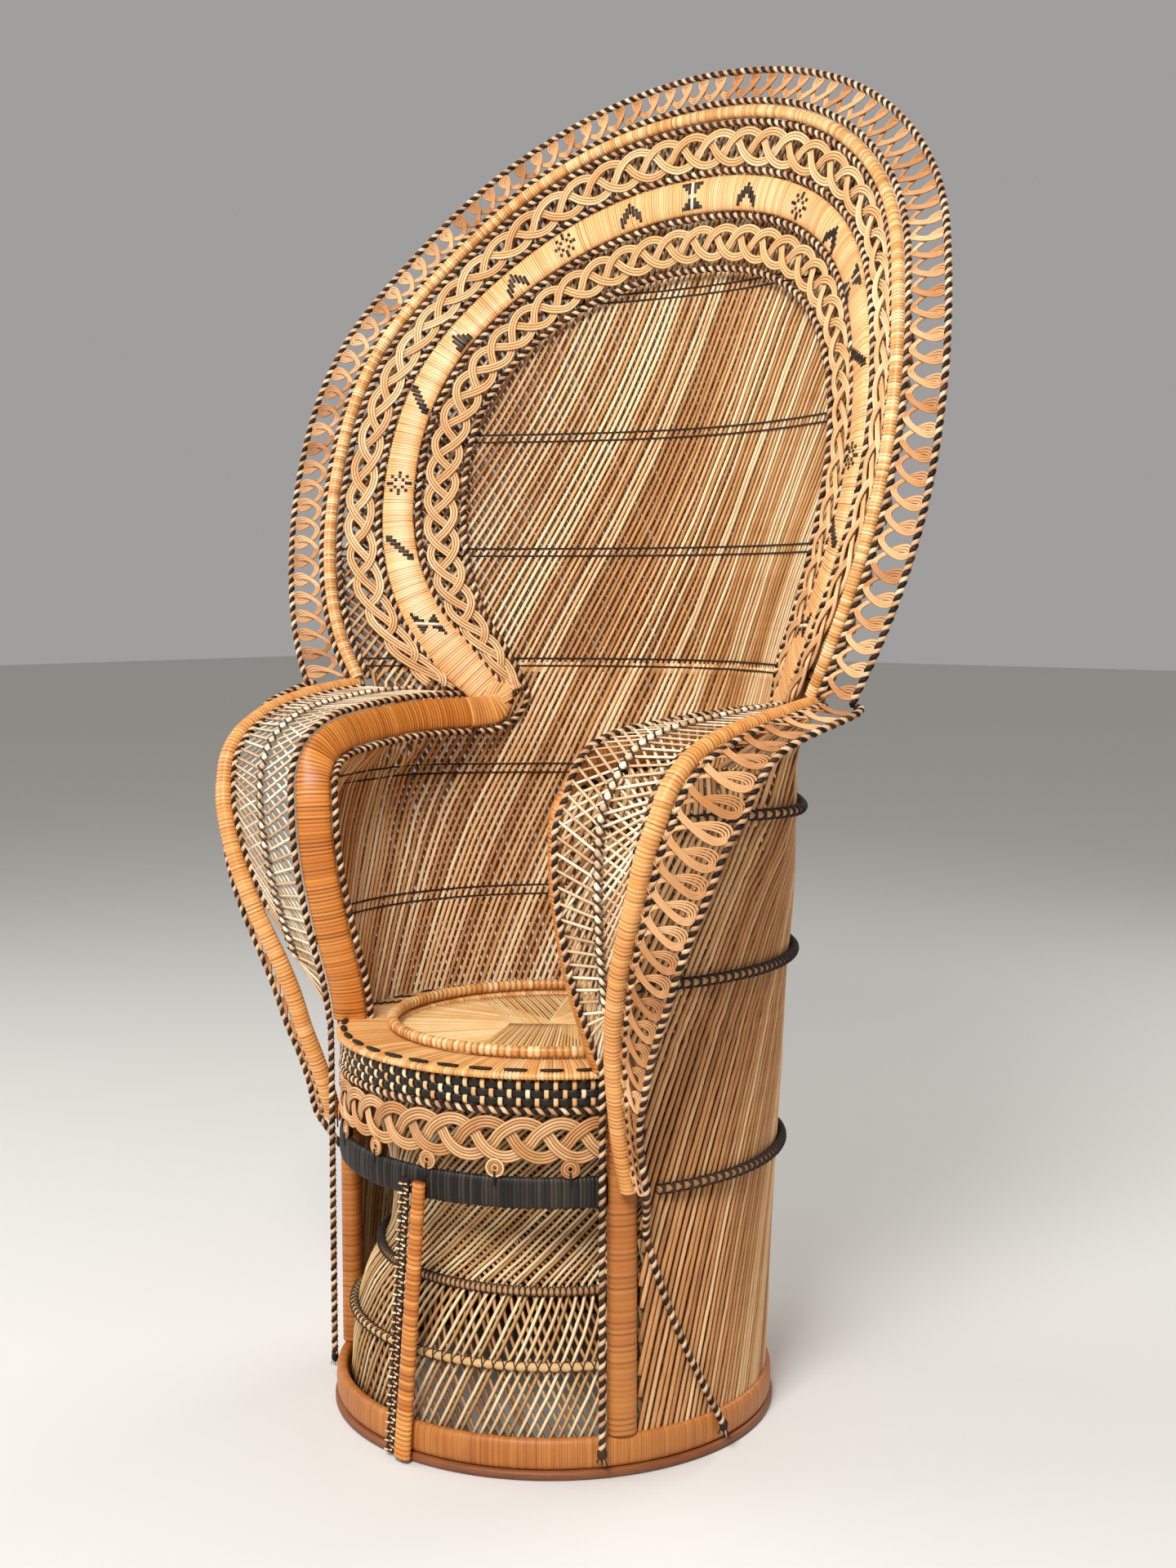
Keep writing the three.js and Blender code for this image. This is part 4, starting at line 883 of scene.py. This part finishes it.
ARM_WIDTH = 38 * MM
ARM_TIP = 30 * MM
ARM_THICKNESS = 14 * MM
WING_HOOP = 19 * MM
WING_CANE = 4.4 * MM
WING_GROOVES_LIT_AND_UNSOILED = (0.0, 0.75)
WING_LOOP = 27 * MM
LEAF_STRIP = 3.4 * MM
LEAF_SPACING = 12.5 * MM
LEAF_SLOPE = 0.5
LEAF_HALVES = ((0.02, 0.49, 36 * MM), (0.98, 0.51, -15 * MM))
LEAF_LAYER = 0.9 * MM
KNOT_STEP = 11 * MM
KNOT_WIDTH = 9.5 * MM
KNOT_HEIGHT = 6 * MM
LOOP_STEPS = 28
LOOP_SWING = 5 * MM
ARM_CORNER = ((0.2165, 0.098, 0.7655), (0.2115, 0.117, 0.7700), (0.2095, 0.127, 0.7790))

wing_cane = cane_material("wound_wing_cane", ("#b3692a", "#e2994e", "#fcc682"), (2600, 4), 0.42, coat=0.15,
                          groove="#8a4416")
leaf_cane = cane_material("leaf_strip_cane", ("#a87a4a", "#e2c096", "#ffedcd"), (70, 6), 0.42, coat=0.1,
                          groove="#3a1e0c")
fringe_cane = cane_material("fringe_cane", ("#8e5022", "#c58850", "#f2bf88"), (70, 6), 0.42, coat=0.1,
                            groove="#4a2410")


def looped_reeds(weave, strip, pitch, low_gap, high_gap, sway, lean, reeds, reed_width):
    """Reeds bent together into loops, nested in one another: wide arcs at the strip's first edge, then
    the limbs cross, and a round head at the second edge. The heads lie further along the strip, by
    the first lean at its start and the second at its end."""
    loops = round(strip.length / pitch)
    turn = np.linspace(0, 2 * math.pi * loops, loops * LOOP_STEPS + 1)
    steady = strip.length * turn / turn[-1]
    width = np.maximum(strip.width(steady), 12 * MM)
    reach = (width - low_gap - high_gap) / 2
    head = (1 - np.cos(turn)) / 2
    tones = np.repeat(draws(0.15, 0.85, loops + 1), LOOP_STEPS)[:len(turn)]
    for number in range(reeds):
        inset = number * reed_width * 1.04
        swing = np.sin(turn) * (LOOP_SWING + (sway - 1.5 * inset) * head)
        shift = np.interp(steady, (0, strip.length), lean) * head
        distance = np.clip(steady + swing + shift, 0, strip.length)
        share = (low_gap + reach - np.maximum(reach - inset - reed_width / 2, 1 * MM) * np.cos(turn)) / width
        line, normal = strip.place(distance, share, 2.3 * MM * np.cos(turn + 0.9))
        weave.strand(line, normal, reed_width, reed_width * 0.85, tone=tones, far_side_shade=0.85)


def frayed_end(weave, end):
    """A knot round the low end of a cord, with five loose ends of cane under it."""
    knot = end + np.array([[0, 0, -7], [0, 0, -3], [0, 0, 2], [0, 0, 6]]) * MM
    weave.strand(knot, away_from_axis(knot), np.array([4, 11, 11, 5]) * MM, np.array([3, 8, 8, 4]) * MM,
                 sides=8)
    for strand in range(5):
        loose = end + np.array([
            [0, 0, 2], [(strand - 2) * 2.4, 0, -6], [(strand - 2) * 3.6, 0, -12]]) * MM
        weave.strand(loose, away_from_axis(loose), 1.6 * MM, 1.2 * MM, sides=4, finish=strand % 2)


for label, sign in (("right", 1), ("left", -1)):
    outwards = np.array([sign, 0, 0.0])
    arm_rings = rings_of(f"{label}_arm_hoop", 10)
    arm_line = np.array([ring.mean(axis=0) for ring in arm_rings])
    across = []
    for ring, centre in zip(arm_rings, arm_line):
        _, _, axes = np.linalg.svd(ring - centre)
        axis = axes[0]
        if across and axis @ across[-1] < 0:
            axis = -axis
        across.append(axis)
    out = unit(np.cross(np.gradient(arm_line, axis=0), np.array(across)))
    if arm_line[0][2] > arm_line[-1][2]:
        arm_line, out = arm_line[::-1], out[::-1]
    corner = np.array(ARM_CORNER) * np.array([sign, 1, 1])
    arm_line = np.vstack([arm_line, corner])
    out = np.vstack([out, np.repeat(out[-1:], len(corner), axis=0)])
    widths = np.full(len(arm_line), ARM_WIDTH)
    widths[-1] = ARM_TIP
    rows = rounded(rows_of(arm_line, out, widths, ARM_THICKNESS), 6)
    bend = 6 * len(corner)
    weave = Weave()
    for finish, stretch in enumerate((rows[:-bend], rows[-bend - 1:])):
        weave.winding(stretch, WING_CANE, dip=0.5 * MM, sides=18, finish=finish, fullness=2.3, groove_lit_and_unsoiled=WING_GROOVES_LIT_AND_UNSOILED,
                      spread=0.2)
    weave.piece(f"{label}_arm_winding", "honey_cane", [honey_cane, wing_cane], f"{label}_arm_hoop")

    wing_line = line_of(f"{label}_wing_hoop", 8, lowest_first=True)
    weave = Weave()
    weave.winding(rounded(rows_of(wing_line, outwards, WING_HOOP, WING_HOOP), 6), WING_CANE, dip=0.5 * MM,
                  sides=14, groove_lit_and_unsoiled=WING_GROOVES_LIT_AND_UNSOILED, spread=0.2)
    weave.piece(f"{label}_wing_winding", "honey_cane", [wing_cane], f"{label}_wing_hoop")

    for cord in ("arm_inner_cord", "arm_outer_cord", "wing_inner_cord", "wing_outer_cord", "wing_edge_cord"):
        line = rounded(line_of(f"{label}_{cord}", lowest_first=True), 6)
        weave = Weave()
        twist(weave, line, outwards)
        if line[0][2] < 0.1:
            frayed_end(weave, line[0])
        weave.piece(f"{label}_{cord}_twist", "cord", CORD_FINISHES, f"{label}_{cord}")

    wing_inner = line_of(f"{label}_wing_inner_cord", lowest_first=True)
    rib_line = line_of(f"{label}_leaf_rib", lowest_first=True)
    leaf = Strip(wing_inner, 2 * rib_line - wing_inner, (0, -1, 0.3))
    weave = Weave()
    for edge, rib, ahead in LEAF_HALVES:
        for lean, level in ((LEAF_SLOPE, LEAF_LAYER), (-LEAF_SLOPE, -LEAF_LAYER)):
            for start in np.arange(-0.05, leaf.length + 0.05, LEAF_SPACING):
                width = leaf.width(np.array([min(max(start, 0), leaf.length)]))[0]
                ends = start + np.array([-0.25, 0.25]) * lean * width + np.array([ahead, 0])
                if ends.max() < 0 or ends.min() > leaf.length:
                    continue
                line, normal = leaf.place(np.clip(ends, 0, leaf.length), np.array([rib, edge]), level)
                line = np.linspace(line[0], line[1], 7)
                weave.strand(line, normal[0], LEAF_STRIP, 1.8 * MM, far_side_shade=0.8)
    weave.piece(f"{label}_leaf_strips", "pale_cane", [leaf_cane], f"{label}_leaf_outer_lattice",
                f"{label}_leaf_inner_lattice")

    weave = Weave()
    knots = int(leaf.length / KNOT_STEP)
    share = np.linspace(-1, 1, 7)
    for knot in range(knots):
        centre = (knot + 0.5) * leaf.length / knots
        line, normal = leaf.place(centre + share * 4.6 * MM, 0.5, 3.2 * MM)
        bulge = np.sqrt(np.maximum(0.05, 1 - share ** 2))
        weave.strand(line, normal, KNOT_WIDTH * bulge, KNOT_HEIGHT * bulge, sides=8, finish=1)
        for turn in (-1, 1):
            line, normal = leaf.place(centre + 5.5 * MM + share * 5 * MM * turn, 0.5, 4.5 * MM)
            side = unit(np.cross(normal, np.gradient(line, axis=0)))
            weave.strand(line + side * (share * 6 * MM)[:, None], normal, 2.2 * MM, 2.2 * MM, sides=5,
                         tone=0.3)
    weave.piece(f"{label}_leaf_rib_knots", "dark_twine", [twine, leaf_cane], f"{label}_leaf_rib")

    edge_line = line_of(f"{label}_wing_edge_cord", lowest_first=True)
    fringe = Strip(wing_line, edge_line[-len(wing_line):], (0, -1, 0.3))
    weave = Weave()
    looped_reeds(weave, fringe, WING_LOOP, low_gap=8 * MM, high_gap=1 * MM, sway=17 * MM,
                 lean=(-18 * MM, -18 * MM), reeds=4, reed_width=2.5 * MM)
    weave.piece(f"{label}_wing_fringe_loops", "pale_cane", [fringe_cane], f"{label}_wing_fringe")


# Fan. From the panel outwards: a twisted cord, a plait, a cord, a wide wound band with black motifs, a
# cord, a plait, a cord, a slim wound hoop, a cord, a fringe of loops and the edge cord.

FAN_LOOP = 24.5 * MM
INNER_PLAIT = 105 * MM
OUTER_PLAIT = 120 * MM
OUTER_MARGIN = 9 * MM
BAND_THICKNESS = 12 * MM
BAND_CANE = 3.4 * MM
CORD_ROOM = 11 * MM
THIN_HOOP = 14.5 * MM
PANEL_FOOT = (
    (0.2085, 0.085, 0.7420), (0.2050, 0.105, 0.7425), (0.1970, 0.128, 0.7520), (0.1900, 0.140, 0.7650),
    (0.1865, 0.1455, 0.7800), (0.1875, 0.1445, 0.7950))
BAND_FOOT = ((0.2030, 0.1290, 0.7880),)
EDGE_FOOT = ((0.4010, -0.0110, 0.7970), (0.4035, -0.0190, 0.8010), (0.4050, -0.0231, 0.8060))
CORD_FEET = {"panel_cord": PANEL_FOOT, "band_inner_cord": BAND_FOOT, "edge_cord": EDGE_FOOT}
BAND_CORNER = ((0.2095, 0.1235, 0.7725), (0.2125, 0.1190, 0.7830))
MOTIF_STEP = 4.4 * MM
MOTIF_CELL = 4.6 * MM
MOTIF_STRIP = 4 * MM
MOTIF_SHAPES = {
    "bow": ("#.....#", "##...##", "###.###", "ooooooo", "###.###", "##...##", "#.....#"),
    "leaf": (".....##", "....###", "...###.", "..###..", ".###...", "###....", "##....."),
    "flower": ("...#...", ".#.#.#.", "..#.#..", "##.o.##", "..#.#..", ".#.#.#.", "...#..."),
    "wing": ("##.....", "###..o.", "####oo.", "#####..", "####...", "##....."),
    "zigzag": ("###....", ".###...", "..###..", "...###.", "..###..", ".###...", "###...."),
}
MOTIFS = (
    (0.1125, "bow"), (0.2160, "leaf"), (0.2985, "flower"), (0.4065, "leaf"), (0.5056, "bow"),
    (0.5965, "zigzag"), (0.6831, "flower"), (0.7783, "zigzag"), (0.8649, "bow"), (0.9558, "zigzag"),
    (1.0511, "flower"), (1.1290, "zigzag"), (1.2285, "wing"), (1.3193, "leaf"), (1.4274, "flower"),
    (1.5095, "leaf"), (1.6131, "bow"))

fan_cords = (
    "panel_cord", "band_inner_cord", "band_outer_cord", "hoop_inner_cord", "hoop_outer_cord", "edge_cord")
fan_lines = {}
for cord in fan_cords:
    line = line_of(cord)
    foot = np.array(CORD_FEET.get(cord, line[:1]))
    other_foot = foot[::-1] * np.array([-1, 1, 1])
    line = np.vstack([foot, line[1:-1], other_foot])
    fan_lines[cord] = line[len(foot) - 1:len(line) - len(foot) + 1]
    weave = Weave()
    twist(weave, rounded(line, 6), FRONT)
    weave.piece(cord + "_twist", "cord", CORD_FINISHES, cord)

inner_strip = Strip(fan_lines["panel_cord"], fan_lines["band_inner_cord"], FRONT)
inner_width = inner_strip.width(np.linspace(0, inner_strip.length, 33))
weave = Weave()
plait(weave, inner_strip, INNER_PLAIT, np.clip(inner_width / 2 - 8 * MM, 2 * MM, 17 * MM))
weave.piece("inner_plait", "pale_cane", [pale_cane], "inner_braid")

outer_strip = Strip(fan_lines["band_outer_cord"], fan_lines["hoop_inner_cord"], FRONT)
outer_width = outer_strip.width(np.linspace(0, outer_strip.length, 17))
outer_half = np.minimum(outer_width / 2 - OUTER_MARGIN, 18 * MM)
weave = Weave()
plait(weave, outer_strip, OUTER_PLAIT, outer_half, (outer_half + OUTER_MARGIN) / outer_width)
weave.piece("outer_plait", "pale_cane", [pale_cane], "outer_braid")

band_cane = cane_material("wound_band_cane", ("#c98240", "#ebab68", "#fed296"), (2600, 4), 0.4, coat=0.25,
                          groove="#8a4416")
band_strip = Strip(fan_lines["band_inner_cord"], fan_lines["band_outer_cord"], FRONT)
samples = np.linspace(0, band_strip.length, 160)
middle, normal = band_strip.place(samples, 0.5)
band_widths = band_strip.width(samples) - CORD_ROOM
right_corner = np.array(BAND_CORNER)
left_corner = right_corner[::-1] * np.array([-1, 1, 1])
band_rows = np.vstack([
    rows_of(right_corner, normal[0], np.array([34, 44]) * MM, BAND_THICKNESS),
    rows_of(middle, normal, band_widths, BAND_THICKNESS),
    rows_of(left_corner, normal[-1], np.array([44, 34]) * MM, BAND_THICKNESS)])
weave = Weave()
weave.winding(band_rows, BAND_CANE, dip=0.4 * MM, sides=16, fullness=2.6, groove_lit_and_unsoiled=(0.0, 0.9), spread=0.25)
weave.piece("pattern_band_winding", "honey_cane", [band_cane], "pattern_band")

weave = Weave()
for centre, shape in MOTIFS:
    rows = MOTIF_SHAPES[shape]
    for number, row in enumerate(rows):
        at = centre + (number - (len(rows) - 1) / 2) * MOTIF_STEP
        width = float(band_strip.width(np.array([at]))[0])
        for dash in re.finditer("#+|o+", row):
            ends = (np.array([dash.start() + 0.1, dash.end() - 0.1]) - len(row) / 2) * MOTIF_CELL / width
            share = np.linspace(ends[0] + 0.5, ends[1] + 0.5, 5)
            bulge = (1 - np.abs(2 * share - 1) ** 2.6) ** (1 / 2.6)
            line, across = band_strip.place(at, share, BAND_THICKNESS / 2 * bulge)
            weave.strand(line, across, MOTIF_STRIP, 1.6 * MM, finish=int(dash.group()[0] == "o"),
                         fullness=2.8, far_side_shade=0.3)
weave.piece("pattern_band_motifs", "black_cane", [black_cane, leaf_cane])

weave = Weave()
thin_line = rounded(line_of("thin_hoop", 8), 6)
weave.winding(rows_of(thin_line, FRONT, THIN_HOOP, THIN_HOOP), pitch=3.6 * MM, dip=0.5 * MM, sides=12,
              groove_lit_and_unsoiled=(0.2, 0.7))
weave.piece("thin_hoop_winding", "honey_cane", [rim_cane], "thin_hoop")

edge_strip = Strip(fan_lines["hoop_outer_cord"], fan_lines["edge_cord"], FRONT)
weave = Weave()
looped_reeds(weave, edge_strip, FAN_LOOP, low_gap=3 * MM, high_gap=1 * MM, sway=11 * MM,
             lean=(-7 * MM, 7 * MM), reeds=3, reed_width=2.8 * MM)
weave.piece("fan_fringe_loops", "pale_cane", [fringe_cane], "fringe")


# Setting. A pale floor and soft studio light, seen from where the photograph was taken.

CAMERA_PLACE = (1.49915, -1.66777 + AXIS_Y, 0.91312)
CAMERA_RIGHT = Vector((0.75518, 0.65552, 0.0))
CAMERA_UP = Vector((-0.06283, 0.07238, 0.99540))
FOCAL_PIXELS = 2465.6
IMAGE_WIDTH = 1440
SENSOR_WIDTH = 36.0
LIT_SPOT = (0, 0, 0.7)

scene = bpy.context.scene
camera_data = bpy.data.cameras.new("photo_camera")
camera_data.sensor_fit = "HORIZONTAL"
camera_data.sensor_width = SENSOR_WIDTH
camera_data.lens = FOCAL_PIXELS * SENSOR_WIDTH / IMAGE_WIDTH
camera = bpy.data.objects.new("photo_camera", camera_data)
scene.collection.objects.link(camera)
turned_to = Matrix((CAMERA_RIGHT, CAMERA_UP, CAMERA_RIGHT.cross(CAMERA_UP))).transposed().to_4x4()
camera.matrix_world = Matrix.Translation(CAMERA_PLACE) @ turned_to
scene.camera = camera

bpy.ops.mesh.primitive_plane_add(size=40.0, location=(0, 0, 0))
floor = bpy.context.object
floor.name = "studio_floor"
floor_material = bpy.data.materials.new("pale_floor")
floor_material.use_nodes = True
floor_shader = floor_material.node_tree.nodes["Principled BSDF"]
floor_shader.inputs["Base Color"].default_value = linear("#dcdad5")
floor_shader.inputs["Roughness"].default_value = 0.8
floor.data.materials.append(floor_material)

scene.world = bpy.data.worlds.new("studio")
scene.world.use_nodes = True
background = scene.world.node_tree.nodes["Background"]
background.inputs["Color"].default_value = linear("#f1efec")
background.inputs["Strength"].default_value = 0.4

for name, place, size, power in (
        ("key_light", (1.2, -2.6, 3.0), 1.2, 154), ("fill_light", (-2.6, -1.6, 1.8), 2.2, 44),
        ("back_light", (0.4, 2.6, 2.6), 1.8, 35)):
    lamp_data = bpy.data.lights.new(name, "AREA")
    lamp_data.size = size
    lamp_data.energy = power
    lamp = bpy.data.objects.new(name, lamp_data)
    scene.collection.objects.link(lamp)
    lamp.location = place
    lamp.rotation_euler = (Vector(LIT_SPOT) - Vector(place)).to_track_quat("-Z", "Y").to_euler()

scene.view_settings.view_transform = "Standard"
